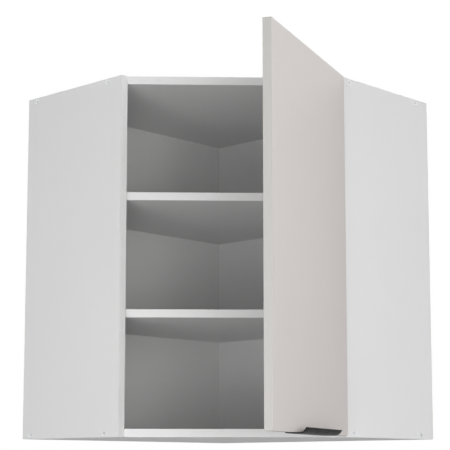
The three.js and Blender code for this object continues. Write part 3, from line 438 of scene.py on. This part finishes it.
def from_door(points):
    """Points of the door's own frame in the part's frame, with the door at rest."""
    c, s = math.cos(DOOR_TURN), math.sin(DOOR_TURN)
    x, y, z = points[..., 0], points[..., 1], points[..., 2]
    return np.stack([DOOR_AXIS.x + c * x - s * y, DOOR_AXIS.y + s * x + c * y, z], -1)


def from_right_panel(points):
    """Points (back from the front edge, off the inner face, up) in the part's frame."""
    back, off, z = points[..., 0], points[..., 1], points[..., 2]
    return np.stack([INNER_FACE - off, -SIDE_DEPTH + back, z], -1)


# ------------------------------------------------------------- materials ----

NOISE_SPAN = (0.3, 0.7)  # most of a noise pattern's values lie between these
RAW_DULLER = 0.35  # how much rougher raw wood is than the coated face beside it


class Finish:
    """One material's node graph, with short calls for the nodes that it needs."""

    def __init__(self, name):
        self.material = bpy.data.materials.new(name)
        self.material.use_nodes = True
        self.tree = self.material.node_tree
        self.shader = self.tree.nodes["Principled BSDF"]
        self.place = self.add("ShaderNodeTexCoord").outputs["Object"]
        self.geometry = self.add("ShaderNodeNewGeometry")

    def add(self, kind, **settings):
        node = self.tree.nodes.new(kind)
        for key, value in settings.items():
            setattr(node, key, value)
        return node

    def put(self, socket, value):
        """Links an output to a socket, or sets the socket to a plain value."""
        if isinstance(value, bpy.types.NodeSocket):
            self.tree.links.new(value, socket)
        else:
            socket.default_value = value

    def set(self, **values):
        for key, value in values.items():
            self.put(self.shader.inputs[key.replace("_", " ")], value)

    def math(self, operation, a, b=0.0, clamp=False):
        node = self.add("ShaderNodeMath", operation=operation, use_clamp=clamp)
        self.put(node.inputs[0], a)
        self.put(node.inputs[1], b)
        return node.outputs[0]

    def dot(self, a, b):
        node = self.add("ShaderNodeVectorMath", operation="DOT_PRODUCT")
        self.put(node.inputs[0], a)
        self.put(node.inputs[1], b)
        return node.outputs["Value"]

    def parts(self):
        """The place's x, y and z."""
        node = self.add("ShaderNodeSeparateXYZ")
        self.put(node.inputs[0], self.place)
        return node.outputs

    def stretched(self, scale):
        node = self.add("ShaderNodeMapping")
        self.put(node.inputs["Vector"], self.place)
        node.inputs["Scale"].default_value = scale
        return node.outputs[0]

    def noise(self, scale, detail=2.0, roughness=0.5, stretch=None):
        node = self.add("ShaderNodeTexNoise")
        self.put(node.inputs["Vector"], self.stretched(stretch) if stretch else self.place)
        node.inputs["Scale"].default_value = scale
        node.inputs["Detail"].default_value = detail
        node.inputs["Roughness"].default_value = roughness
        return node.outputs["Fac"]

    def cloud(self, scale, detail, low=0, high=1):
        """A noise pattern spread over low..high."""
        return self.span(self.noise(scale, detail), *NOISE_SPAN, low, high)

    def chips(self, scale):
        """Flat flakes, each with a value of its own."""
        node = self.add("ShaderNodeTexVoronoi")
        self.put(node.inputs["Vector"], self.place)
        node.inputs["Scale"].default_value = scale
        return self.dot(node.outputs["Color"], (0.5, 0.3, 0.2))

    def under(self, a, b):
        """1 where a is under b, and 0 elsewhere."""
        return self.math("LESS_THAN", a, b)

    def span(self, value, low, high, to_low, to_high):
        """value from low..high mapped to to_low..to_high, held at the ends."""
        node = self.add("ShaderNodeMapRange")
        self.put(node.inputs["Value"], value)
        node.inputs["From Min"].default_value = low
        node.inputs["From Max"].default_value = high
        node.inputs["To Min"].default_value = to_low
        node.inputs["To Max"].default_value = to_high
        return node.outputs[0]

    def blend(self, factor, a, b):
        """Colour a where the factor is 0 and b where it is 1."""
        node = self.add("ShaderNodeMix", data_type="RGBA")
        self.put(node.inputs[0], factor)
        for socket, value in ((node.inputs[6], a), (node.inputs[7], b)):
            self.put(socket, value if isinstance(value, bpy.types.NodeSocket) else (*value, 1))
        return node.outputs[2]

    def soft_edges(self, radius):
        """The normal, rounded over within a radius of each edge."""
        node = self.add("ShaderNodeBevel", samples=6)
        node.inputs["Radius"].default_value = radius
        return node.outputs["Normal"]

    def edge_mask(self, rounded, strength):
        """0 on flat ground and up to 1 on an edge, from how far the normal turned."""
        agreement = self.dot(rounded, self.geometry.outputs["True Normal"])
        turned_by = self.math("SUBTRACT", 1.0, agreement)
        return self.math("MULTIPLY", turned_by, strength, clamp=True)

    def bump(self, height, depth, normal):
        node = self.add("ShaderNodeBump")
        node.inputs["Distance"].default_value = depth
        self.put(node.inputs["Height"], height)
        self.put(node.inputs["Normal"], normal)
        return node.outputs[0]


def scaled(colour, factor):
    return tuple(min(1.0, c * factor) for c in colour)


def carcass_bands(f):
    """Depth behind the nearest banded front edge of a carcass board.

    The left panel's front looks to +x, the right panel's to -y, and those of the top,
    the bottom and the shelves to both. A metre is added to each depth off its boards.
    """
    x, y, z = f.parts()
    across = f.math("SUBTRACT", x, y)
    inner = INNER_FACE - SEAT
    between = f.math("ADD", f.under(y, -inner), f.under(inner, x))
    from_middle = f.math("ABSOLUTE", f.math("SUBTRACT", z, HEIGHT / 2))
    left = f.math("ADD", f.math("SUBTRACT", SIDE_DEPTH, x), f.under(-inner, y))
    right = f.math("ADD", f.math("ADD", SIDE_DEPTH, y), f.under(x, inner))
    nearest = f.math("MINIMUM", left, right)
    ends = f.under(from_middle, HEIGHT / 2 - BOARD - SEAT)
    shelves = f.under(HEIGHT / 2 - BOARD - SEAT, from_middle)
    for front, elsewhere in ((FRONT_SUM, ends), (SHELF_FRONT_SUM, shelves)):
        behind = f.math("ABSOLUTE", f.math("SUBTRACT", front, across))
        behind = f.math("MULTIPLY", behind, math.sqrt(0.5))
        behind = f.math("ADD", f.math("ADD", behind, between), elsewhere)
        nearest = f.math("MINIMUM", nearest, behind)
    return nearest


def door_bands(f):
    """Depth behind the nearest of the door's four banded edges."""
    axis_x = Vector((math.cos(DOOR_TURN), math.sin(DOOR_TURN), 0))
    across = f.math("SUBTRACT", f.dot(f.place, axis_x), DOOR_AXIS.dot(axis_x))
    z = f.parts()["Z"]
    nearest = f.math("SUBTRACT", across, DOOR_FREE_EDGE)
    nearest = f.math("MINIMUM", nearest, f.math("SUBTRACT", DOOR_HINGE_EDGE, across))
    nearest = f.math("MINIMUM", nearest, f.math("SUBTRACT", z, DOOR_BOTTOM))
    return f.math("MINIMUM", nearest, f.math("SUBTRACT", DOOR_TOP, z))


def coated_board(name, colour, band, band_depth, sheen, pore_depth, raw_wall_edges=False):
    """Board with a pressed melamine face: fine pores, faint clouding and softened edges.

    The banded edges have the band's own colour, and a fine glue line shows where a band
    ends, at its thickness behind the edge. The edges that go against the walls may be
    left raw, so that the chips show.
    """
    f = Finish(name)
    face = f.blend(f.cloud(3.5, 3), scaled(colour, 0.99), scaled(colour, 1.008))
    pores = f.span(f.noise(420, 2), 0.58, 0.75, 0, 0.3)
    face = f.blend(pores, face, scaled(colour, 0.955))
    rounded = f.soft_edges(0.9 * MM)

    depth = band_depth(f)
    face = f.blend(f.span(depth, 0.15 * MM, 0.25 * MM, 1, 0), face, band)
    off_line = f.math("ABSOLUTE", f.math("SUBTRACT", depth, BAND))
    line = f.span(off_line, 0.03 * MM, 0.09 * MM, 1, 0)
    line = f.math("MULTIPLY", line, f.span(f.noise(120, 3), 0.35, 0.6, 0.25, 0.8))
    face = f.blend(line, face, scaled(colour, 0.62))

    rubbed = f.span(f.noise(55, 4), 0.4, 0.65, 0.2, 1)
    rubbed = f.math("MULTIPLY", f.edge_mask(rounded, 2.0), rubbed)
    face = f.blend(rubbed, face, scaled(colour, 0.9))
    shine = f.span(f.noise(26, 5, 0.65), 0.3, 0.75, *sheen)
    height = f.noise(1500, 3, 0.6)

    if raw_wall_edges:
        x, y, _ = f.parts()
        raw = f.math(
            "MAXIMUM",
            f.span(x, 0.5 * MM, 0.3 * MM, 0, 1),
            f.span(y, -0.5 * MM, -0.3 * MM, 0, 1),
        )
        coarse = f.math("MULTIPLY", f.chips(480), 0.45)
        fine = f.math("MULTIPLY", f.chips(1100), 0.3)
        dust = f.math("MULTIPLY", f.noise(1400, 3, 0.6), 0.5)
        flakes = f.math("ADD", f.math("ADD", coarse, fine), dust)
        wood = f.blend(f.span(flakes, 0.35, 0.9, 0, 1), (0.33, 0.22, 0.13), (0.62, 0.48, 0.33))
        face = f.blend(raw, face, wood)
        shine = f.math("ADD", shine, f.math("MULTIPLY", raw, RAW_DULLER))
        rough = f.math("MULTIPLY", f.math("MULTIPLY", raw, flakes), 8.0)
        height = f.math("ADD", height, rough)
    f.set(
        Base_Color=face,
        Roughness=shine,
        Specular_IOR_Level=0.3,
        Normal=f.bump(height, pore_depth, rounded),
    )
    return f.material


def hardboard():
    """Thin fibreboard: lacquered white on the cabinet's side, raw brown behind."""
    f = Finish("hardboard")
    middle, blur = HARDBOARD_MIDDLE, 0.2 * MM
    raw = f.span(f.parts()["X"], middle + blur, middle - blur, 0, 1)
    fibres = f.noise(260, 5, 0.7, (1, 1, 0.35))
    brown = f.blend(f.span(fibres, *NOISE_SPAN, 0, 1), (0.22, 0.135, 0.075), (0.38, 0.25, 0.15))
    white = f.blend(f.cloud(4, 3), (0.73, 0.73, 0.725), (0.75, 0.75, 0.745))
    shine = f.math("ADD", f.cloud(30, 4, 0.38, 0.52), f.math("MULTIPLY", raw, RAW_DULLER))
    relief = f.blend(raw, f.noise(1100, 2), fibres)
    f.set(
        Base_Color=f.blend(raw, white, brown),
        Roughness=shine,
        Normal=f.bump(relief, 0.02 * MM, f.soft_edges(0.3 * MM)),
    )
    return f.material


def powder_coat():
    """Black powder coat: fine orange peel, with its edges rubbed a little lighter."""
    f = Finish("powder_coat")
    rounded = f.soft_edges(0.3 * MM)
    worn = f.span(f.noise(90, 4), 0.5, 0.75, 0, 0.5)
    worn = f.math("MULTIPLY", f.edge_mask(rounded, 1.5), worn)
    black = f.blend(f.cloud(14, 3), (0.003, 0.003, 0.0033), (0.005, 0.005, 0.0054))
    f.set(
        Base_Color=f.blend(worn, black, (0.02, 0.02, 0.02)),
        Roughness=f.cloud(60, 4, 0.42, 0.54),
        Specular_IOR_Level=0.06,
        Normal=f.bump(f.noise(900, 3, 0.55), 0.03 * MM, rounded),
    )
    return f.material


def plated_steel(name, bright, dull, shine, grain):
    """Plated steel: fine drawn grain, soft clouding and a painted highlight along its edges."""
    f = Finish(name)
    rounded = f.soft_edges(0.3 * MM)
    cloud = f.span(f.noise(45, 3), 0.3, 0.75, 0, 1)
    lines = f.noise(600, 3, 0.6, grain)
    colour = f.blend(cloud, bright, dull)
    colour = f.blend(f.span(lines, 0.45, 0.8, 0, 0.2), colour, scaled(dull, 0.9))
    # Lighter colour on the rounded edges: a painted highlight.
    colour = f.blend(f.edge_mask(rounded, 1.5), colour, scaled(bright, 1.12))
    duller = f.math("MULTIPLY", cloud, 0.05)
    f.set(
        Base_Color=colour,
        Metallic=1.0,
        Roughness=f.math("ADD", f.span(lines, *NOISE_SPAN, *shine), duller),
        Normal=f.bump(lines, 0.003 * MM, rounded),
    )
    return f.material


def moulded_plastic():
    """White moulded plastic with a fine spark-eroded texture, and a painted highlight on its
    edges.
    """
    f = Finish("moulded_plastic")
    rounded = f.soft_edges(0.5 * MM)
    white = f.blend(f.cloud(40, 3), (0.75, 0.75, 0.735), (0.80, 0.80, 0.785))
    f.set(
        # The colour turns lighter on the rounded edges: a painted highlight.
        Base_Color=f.blend(f.edge_mask(rounded, 0.8), white, (0.83, 0.83, 0.82)),
        Roughness=f.cloud(120, 3, 0.4, 0.55),
        Normal=f.bump(f.noise(2200, 2), 0.02 * MM, rounded),
    )
    return f.material


def clear_silicone():
    """Slightly cloudy clear silicone."""
    f = Finish("clear_silicone")
    haze = f.noise(500, 3)
    cloudy = f.span(haze, *NOISE_SPAN, 0, 1)
    f.set(
        Base_Color=f.blend(cloudy, (0.82, 0.84, 0.85), (0.9, 0.92, 0.93)),
        Transmission_Weight=0.7,
        IOR=1.41,
        Roughness=f.span(haze, *NOISE_SPAN, 0.18, 0.34),
        Normal=f.bump(haze, 0.01 * MM, f.soft_edges(0.2 * MM)),
    )
    return f.material


FINISHES = {
    "white_board": coated_board(
        "white_melamine",
        colour=(0.75, 0.75, 0.75),
        band=(0.73, 0.73, 0.73),
        band_depth=carcass_bands,
        sheen=(0.44, 0.54),
        pore_depth=0.02 * MM,
        raw_wall_edges=True,
    ),
    "door_board": coated_board(
        "greige_laminate",
        colour=(0.652, 0.611, 0.59),
        band=(0.50, 0.487, 0.468),
        band_depth=door_bands,
        sheen=(0.48, 0.55),
        pore_depth=0.012 * MM,
    ),
    "white_hardboard": hardboard(),
    "black_metal": powder_coat(),
    "nickel": plated_steel(
        "satin_nickel",
        bright=(0.78, 0.77, 0.74),
        dull=(0.72, 0.71, 0.68),
        shine=(0.24, 0.32),
        grain=(1, 1, 0.2),
    ),
    "zinc": plated_steel(
        "dull_zinc",
        bright=(0.62, 0.63, 0.65),
        dull=(0.55, 0.56, 0.57),
        shine=(0.44, 0.58),
        grain=(1, 1, 1),
    ),
    "white_plastic": moulded_plastic(),
    "clear_rubber": clear_silicone(),
}


def dress_frame():
    """Gives each node of the frame the finish of its material slot."""
    for part in frame["record"]["subparts"]:
        for slot in frame["nodes"][part["node"]].material_slots:
            slot.material = FINISHES[part["material_slot"]]


# ------------------------------------------------------------- new pieces ----

def add_piece(name, grids, slot, body, replaces=()):
    """A new piece in the part's frame, riding on a body, perhaps in a node's place."""
    piece = make_mesh(name, grids)
    piece.data.materials.append(FINISHES[slot])
    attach(piece, body)
    if replaces:
        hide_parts(*replaces)


def make_carcass_screws():
    """Puts a screw with a thread and a hexagonal socket in place of each carcass screw."""
    ahead, left, right = (0, 1, 0), (0, -1, 0), (1, 0, 0)
    up, down = (0, 0, 1), (0, 0, -1)
    places = []
    for end, z in (("bottom", BOARD / 2), ("top", HEIGHT - BOARD / 2)):
        for reach, in_left, in_right in zip(("wall", "front"), *SCREW_PLACES.values()):
            name, origin = f"left_{end}_{reach}", (in_left, -WALL_LENGTH, z)
            places.append((name, f"{name}_screw", origin, right, up, left))
            name, origin = f"right_{end}_{reach}", (WALL_LENGTH, -in_right, z)
            places.append((name, f"{name}_screw", origin, ahead, up, right))
    for number, x in enumerate(BACK_SCREW_PLACES, 1):
        for end, z, y_axis, out in (("top", HEIGHT, ahead, up), ("bottom", 0, left, down)):
            node = f"back_{end}_screw_{number}"
            origin = (x, -BACK_BOARD_MIDDLE, z)
            places.append((f"back_{end}_{number}", node, origin, right, y_axis, out))
    for number, (name, node, origin, *axes) in enumerate(places):
        c, s = math.cos(SCREW_STOPS * number), math.sin(SCREW_STOPS * number)
        turn = along((0, 0, 0), (c, s, 0), (-s, c, 0), up)
        screw = carcass_screw().placed(then(turn, along(origin, *axes)))
        add_piece(f"{name}_threaded_screw", [screw], "zinc", "carcass", [node])


def make_pegs():
    """Puts a peg with a round-ended stem and a pressed spade in place of each peg."""
    stem = turned([
        (0, -PEG_DEPTH),
        (PEG_RADIUS - PEG_NOSE, -PEG_DEPTH),
        (PEG_RADIUS, -PEG_DEPTH + PEG_NOSE),
        (PEG_RADIUS, PEG_REACH - PEG_EDGE),
        (PEG_RADIUS - PEG_EDGE, PEG_REACH),
        (0, PEG_REACH),
    ], 32).placed(along((0, 0, 0), (1, 0, 0), (0, 0, -1), (0, 1, 0)))
    spade = rounded_block(
        (-SPADE_WIDTH / 2, SEAT, PEG_DROP - SPADE_THICKNESS),
        (SPADE_WIDTH / 2, PEG_REACH, PEG_DROP),
        PEG_NOSE,
    )
    for level, underside in SHELF_UNDERSIDES.items():
        z = underside - PEG_DROP
        places = [("back", (BACK_PEG_PLACE, -BACK_BOARD_FACE, z), (-1, 0, 0), (0, -1, 0))]
        for reach, off in PEG_PLACES.items():
            places.append((f"left_{reach}", (off, -INNER_FACE, z), (1, 0, 0), (0, 1, 0)))
            places.append((f"right_{reach}", (INNER_FACE, -off, z), (0, 1, 0), (-1, 0, 0)))
        for place, origin, across, inward in places:
            mapping = along(origin, across, inward, (0, 0, 1))
            grids = [stem.placed(mapping), spade.placed(mapping)]
            name = f"{level}_shelf_{place}"
            add_piece(f"{name}_pressed_peg", grids, "zinc", "carcass", [f"{name}_peg"])


def pull_line():
    """The pull's middle line in (out from the door's outer face, up from its bottom edge)."""
    half = PULL_SHEET / 2
    back = -DOOR_THICKNESS - SEAT - half
    low = -SEAT - half
    lip_centre = (PULL_REACH, PULL_LIP - SEAT)
    flange = np.stack([np.full(14, back), np.linspace(PULL_FLANGE, low + PULL_BEND, 14)], -1)
    rounding = half * (1 - np.cos(np.linspace(0, math.pi / 2, 6)))
    top = np.stack([np.full(6, back), PULL_FLANGE - rounding], -1)
    bend = arc((back + PULL_BEND, low + PULL_BEND), PULL_BEND, math.pi, 1.5 * math.pi, 8)
    radius, lip_end = PULL_LIP + half, -math.pi / 2 + PULL_SWEEP
    lip = arc(lip_centre, radius, -math.pi / 2, lip_end, 24)
    tip = arc(lip_centre, radius, lip_end, lip_end + half / radius, 6)
    return np.concatenate([top, flange[2:-1], bend, lip, tip[1:]])


def make_pull():
    """Puts a bent sheet with half-round borders in place of the edge pull, with its screws."""
    middle = (DOOR_HINGE_EDGE + DOOR_FREE_EDGE) / 2
    strip = sheet_on_line(pull_line(), PULL_SHEET, PULL_LENGTH, PULL_SHEET / 2)
    corner = (middle - PULL_LENGTH / 2, DOOR_OUTER, DOOR_BOTTOM)
    to_door = along(corner, (0, -1, 0), (0, 0, 1), (1, 0, 0))
    strip = strip.placed(then(to_door, from_door))
    add_piece("pull_profile", [strip], "black_metal", "door", ["edge_pull"])
    face, height = DOOR_INNER + SEAT + PULL_SHEET, DOOR_BOTTOM + PULL_FLANGE / 2
    for number, end in enumerate((-1, 1), 1):
        to_part = then(on_door((middle + end * PULL_SCREWS / 2, face, height)), from_door)
        head = cross_head(*PULL_SCREW_HEAD).placed(to_part)
        add_piece(f"pull_screw_{number}", [head], "zinc", "door")


def on_door(seat):
    """A mapping that stands a turned piece on the door's inner face, in the door's frame."""
    return along(seat, (1, 0, 0), (0, 0, -1), (0, 1, 0))


def cup_outline(angle):
    """How far the cup's flange reaches at each angle: the rim, or the wings past it.

    The wings are a rounded rectangle, found along each ray by halving the distance
    between a point inside it and one outside it.
    """
    ray = np.stack([np.cos(angle), np.sin(angle)], -1)
    core = np.array(CUP_WING_HALF) - CUP_WING_CORNER
    inside, outside = np.zeros_like(angle), np.full_like(angle, 2 * CUP_WING_HALF[1])
    for _ in range(40):
        half_way = (inside + outside) / 2
        place = half_way[:, None] * ray + np.array([CUP_WING_OFFSET, 0])
        over = np.maximum(np.abs(place) - core, 0)
        within = np.hypot(over[:, 0], over[:, 1]) < CUP_WING_CORNER
        inside = np.where(within, half_way, inside)
        outside = np.where(within, outside, half_way)
    return np.maximum(CUP_RIM, inside)


def hinge_cup():
    """The cup: a profile (r, z) carried round, whose flange part stretches to the outline.

    The profile goes from the middle of the floor, over a pressed step, up the inside
    with rounded corners, out over the flange, and back below to the middle. z = 0 is
    the door's face. A share s of each point says how much of the outline's reach
    beyond the rim it takes, 1 on the flange's border and 0 in the pot.
    """
    top, floor = SEAT + CUP_FLANGE, CUP_SHEET - CUP_DEPTH
    quarter = math.pi / 2
    heel = arc((CUP_INSIDE - CUP_HEEL, floor + CUP_HEEL), CUP_HEEL, -quarter, 0, 5)
    mouth = arc((CUP_INSIDE + CUP_MOUTH, top - CUP_MOUTH), CUP_MOUTH, math.pi, quarter, 5)
    border = arc((CUP_RIM - CUP_BORDER, top - CUP_BORDER), CUP_BORDER, quarter, 0, 5)
    foot = arc((CUP_RADIUS - CUP_FOOT, CUP_FOOT - CUP_DEPTH), CUP_FOOT, 0, -quarter, 4)
    step_radius, slope, rise = CUP_STEP
    step = [(0, floor + rise), (step_radius, floor + rise), (step_radius + slope, floor)]
    under = [(CUP_RIM, SEAT + 0.2 * MM), (CUP_RIM - 0.2 * MM, SEAT), (CUP_RADIUS, SEAT)]
    profile = np.concatenate([step, heel, mouth, border, under, foot, [(0, -CUP_DEPTH)]])
    first = len(step) + len(heel) + len(mouth)
    share = np.zeros(len(profile))
    share[first:first + len(border) + 2] = 1
    angle = np.linspace(0, 2 * math.pi, 240, endpoint=False)
    reach = cup_outline(angle) - CUP_RIM
    r = profile[:, :1] + share[:, None] * reach[None, :]
    z = np.broadcast_to(profile[:, 1:], r.shape)
    return Grid(np.stack([r * np.cos(angle), r * np.sin(angle), z], -1), close_v=True)


def cup_pins():
    """The cup's two pins, from wall to wall, each a rod along the cup's own y."""
    rods = []
    for reach in CRANK_PINS.values():
        x = -reach * math.cos(CRANK_TILT) - CUP_CENTRE
        z = reach * math.sin(CRANK_TILT) - DOOR_INNER
        half = math.sqrt(CUP_INSIDE ** 2 - x ** 2) + 0.5 * MM
        rod = turned([(0, -half), (PIN_RADIUS, -half), (PIN_RADIUS, half), (0, half)], 24)
        rods.append(rod.placed(along((x, 0, z), (0, 0, 1), (1, 0, 0), (0, 1, 0))))
    return rods


def make_cups():
    """Puts a pressed cup in place of each hinge cup, with the screws in its wings."""
    for level, height in HINGE_HEIGHTS.items():
        to_part = then(on_door((CUP_CENTRE, DOOR_INNER, height)), from_door)
        grids = [grid.placed(to_part) for grid in (hinge_cup(), *cup_pins())]
        add_piece(f"{level}_pressed_cup", grids, "nickel", "door", [f"{level}_hinge_cup"])
        across, face = CUP_CENTRE - CUP_WING_OFFSET, DOOR_INNER + SEAT + CUP_FLANGE
        for end_name, end in (("low", -1), ("high", 1)):
            to_part = then(on_door((across, face, height + end * CUP_SCREWS / 2)), from_door)
            head = cross_head(*CUP_SCREW_HEAD).placed(to_part)
            add_piece(f"{level}_cup_{end_name}_screw", [head], "zinc", "door")


def make_arm_screws():
    """Screw heads on top of each hinge arm, over its mounting plate."""
    for level, height in HINGE_HEIGHTS.items():
        for number, back in enumerate(ARM_SCREW_PLACES, 1):
            to_panel = along((back, ARM_TOP, height), (1, 0, 0), (0, 0, -1), (0, 1, 0))
            head = cross_head(*ARM_SCREW_HEAD).placed(then(to_panel, from_right_panel))
            add_piece(f"{level}_arm_screw_{number}", [head], "zinc", "carcass")


def make_rivets():
    """Rivet heads on both ends of the pivots in the arms and of the pins in the cranks."""
    for level, height in HINGE_HEIGHTS.items():
        for crank, rise in PIVOT_RISES.items():
            pivot = (AXIS_BEHIND_FRONT, rise)
            grids = rivet_pair(pivot, height, ARM_OUTSIDE, RIVET_RISES["arm"])
            add_piece(f"{level}_{crank}_pivot_rivets", grids, "nickel", "carcass")
            grids = []
            for reach in CRANK_PINS.values():
                back = AXIS_BEHIND_FRONT + reach * math.cos(CRANK_TURN)
                off = rise + reach * math.sin(CRANK_TURN)
                grids += rivet_pair((back, off), height, CRANK_OUTSIDE, RIVET_RISES["crank"])
            body = body_of(frame["nodes"][f"{level}_hinge_{crank}_crank"])[0]
            add_piece(f"{level}_{crank}_crank_rivets", grids, "nickel", body)


def rivet_pair(place, height, outside, rise):
    """Two rivet heads, one above and one below, a given distance from a hinge's middle."""
    head = low_dome(RIVET_RADIUS, RIVET_RIM, rise)
    pair = []
    for side in (-1, 1):
        origin = (*place, height + side * outside)
        outward = along(origin, (1, 0, 0), (0, side, 0), (0, 0, side))
        pair.append(head.placed(then(outward, from_right_panel)))
    return pair


def make_bumpers():
    """Puts a smooth dome in place of each of the door's bumpers."""
    heights = {"lower": DOOR_BOTTOM + BUMPER_FROM_END, "upper": DOOR_TOP - BUMPER_FROM_END}
    for level, height in heights.items():
        seat = (DOOR_FREE_EDGE + BUMPER_FROM_EDGE, DOOR_INNER + SEAT, height)
        dome = low_dome(BUMPER_RADIUS, BUMPER_RIM, BUMPER_HEIGHT)
        dome = dome.placed(then(on_door(seat), from_door))
        node = f"{level}_door_bumper"
        add_piece(f"{level}_bumper_dome", [dome], "clear_rubber", "door", [node])


# ------------------------------------------------------------------ stage ----

def is_seen(tree):
    """1 for rays from the camera, a mirror or glass, and 0 for the light on the object."""
    path = tree.nodes.new("ShaderNodeLightPath")
    seen = path.outputs["Is Camera Ray"]
    for ray in ("Is Glossy Ray", "Is Transmission Ray"):
        either = tree.nodes.new("ShaderNodeMath")
        either.operation = "MAXIMUM"
        tree.links.new(seen, either.inputs[0])
        tree.links.new(path.outputs[ray], either.inputs[1])
        seen = either.outputs[0]
    return seen


def make_world():
    """An even world at a plain level, that looks white."""
    world = bpy.data.worlds.new("studio")
    bpy.context.scene.world = world
    world.use_nodes = True
    tree = world.node_tree
    background = tree.nodes["Background"]
    background.inputs["Color"].default_value = (1, 1, 1, 1)
    level = tree.nodes.new("ShaderNodeMapRange")
    level.inputs["To Min"].default_value = WORLD_LEVEL
    level.inputs["To Max"].default_value = 1.0
    tree.links.new(is_seen(tree), level.inputs["Value"])
    tree.links.new(level.outputs[0], background.inputs["Strength"])


def make_floor():
    """A plain floor that takes the shadow and looks pale, and paler further away."""
    half = FLOOR_SIZE / 2
    turns = ((-1, -1), (1, -1), (1, 1), (-1, 1))
    corners = [(x * half, y * half, FLOOR_HEIGHT) for x, y in turns]
    mesh = bpy.data.meshes.new("floor")
    mesh.from_pydata(corners, [], [(0, 1, 2, 3)])
    floor = bpy.data.objects.new("floor", mesh)
    bpy.context.scene.collection.objects.link(floor)
    f = Finish("pale_floor")
    glow = f.add("ShaderNodeEmission")
    glow.inputs["Color"].default_value = (1, 1, 1, 1)
    away = f.math("SQRT", f.dot(f.place, f.place))
    lift = f.span(away, *FLOOR_GLOW_REACH, *FLOOR_GLOW)
    f.put(glow.inputs["Strength"], f.math("MULTIPLY", lift, is_seen(f.tree)))
    both = f.add("ShaderNodeAddShader")
    f.set(Base_Color=(*[FLOOR_COLOUR] * 3, 1), Roughness=0.9, Specular_IOR_Level=0.0)
    f.tree.links.new(f.shader.outputs[0], both.inputs[0])
    f.tree.links.new(glow.outputs[0], both.inputs[1])
    f.tree.links.new(both.outputs[0], f.tree.nodes["Material Output"].inputs["Surface"])
    mesh.materials.append(f.material)


def add_softbox(name, azimuth, elevation, size, level):
    """An area light; azimuth 0 is the -Y side and 90 the +X side, in degrees."""
    a, e = math.radians(azimuth), math.radians(elevation)
    away = Vector((math.sin(a) * math.cos(e), -math.cos(a) * math.cos(e), math.sin(e)))
    lamp = bpy.data.lights.new(name, "AREA")
    lamp.size = size
    lamp.energy = level * math.pi ** 2 * SOFTBOX_DISTANCE ** 2
    softbox = bpy.data.objects.new(name, lamp)
    bpy.context.scene.collection.objects.link(softbox)
    softbox.location = ROOM_CENTRE + SOFTBOX_DISTANCE * away
    softbox.rotation_mode = "QUATERNION"
    softbox.rotation_quaternion = (-away).to_track_quat("-Z", "Y")


def make_camera():
    """The photograph's camera, its lens as long as the focal length in pixels says."""
    level = math.cos(CAMERA_RISE)
    ahead = Vector((
        level * math.cos(CAMERA_HEADING),
        level * math.sin(CAMERA_HEADING),
        math.sin(CAMERA_RISE),
    ))
    lens = bpy.data.cameras.new("camera")
    lens.sensor_width = SENSOR_WIDTH
    lens.lens = FOCAL_PIXELS / PHOTO_PIXELS * SENSOR_WIDTH
    lens.shift_y = SHIFT_Y
    camera = bpy.data.objects.new("camera", lens)
    bpy.context.scene.collection.objects.link(camera)
    camera.location = CAMERA_PLACE
    camera.rotation_mode = "QUATERNION"
    camera.rotation_quaternion = ahead.to_track_quat("-Z", "Y")
    bpy.context.scene.camera = camera


make_camera()
dress_frame()
make_carcass_screws()
make_pegs()
make_pull()
make_cups()
make_arm_screws()
make_rivets()
make_bumpers()
make_world()
make_floor()
for softbox in SOFTBOXES:
    add_softbox(*softbox)
bpy.context.scene.view_settings.view_transform = "Standard"
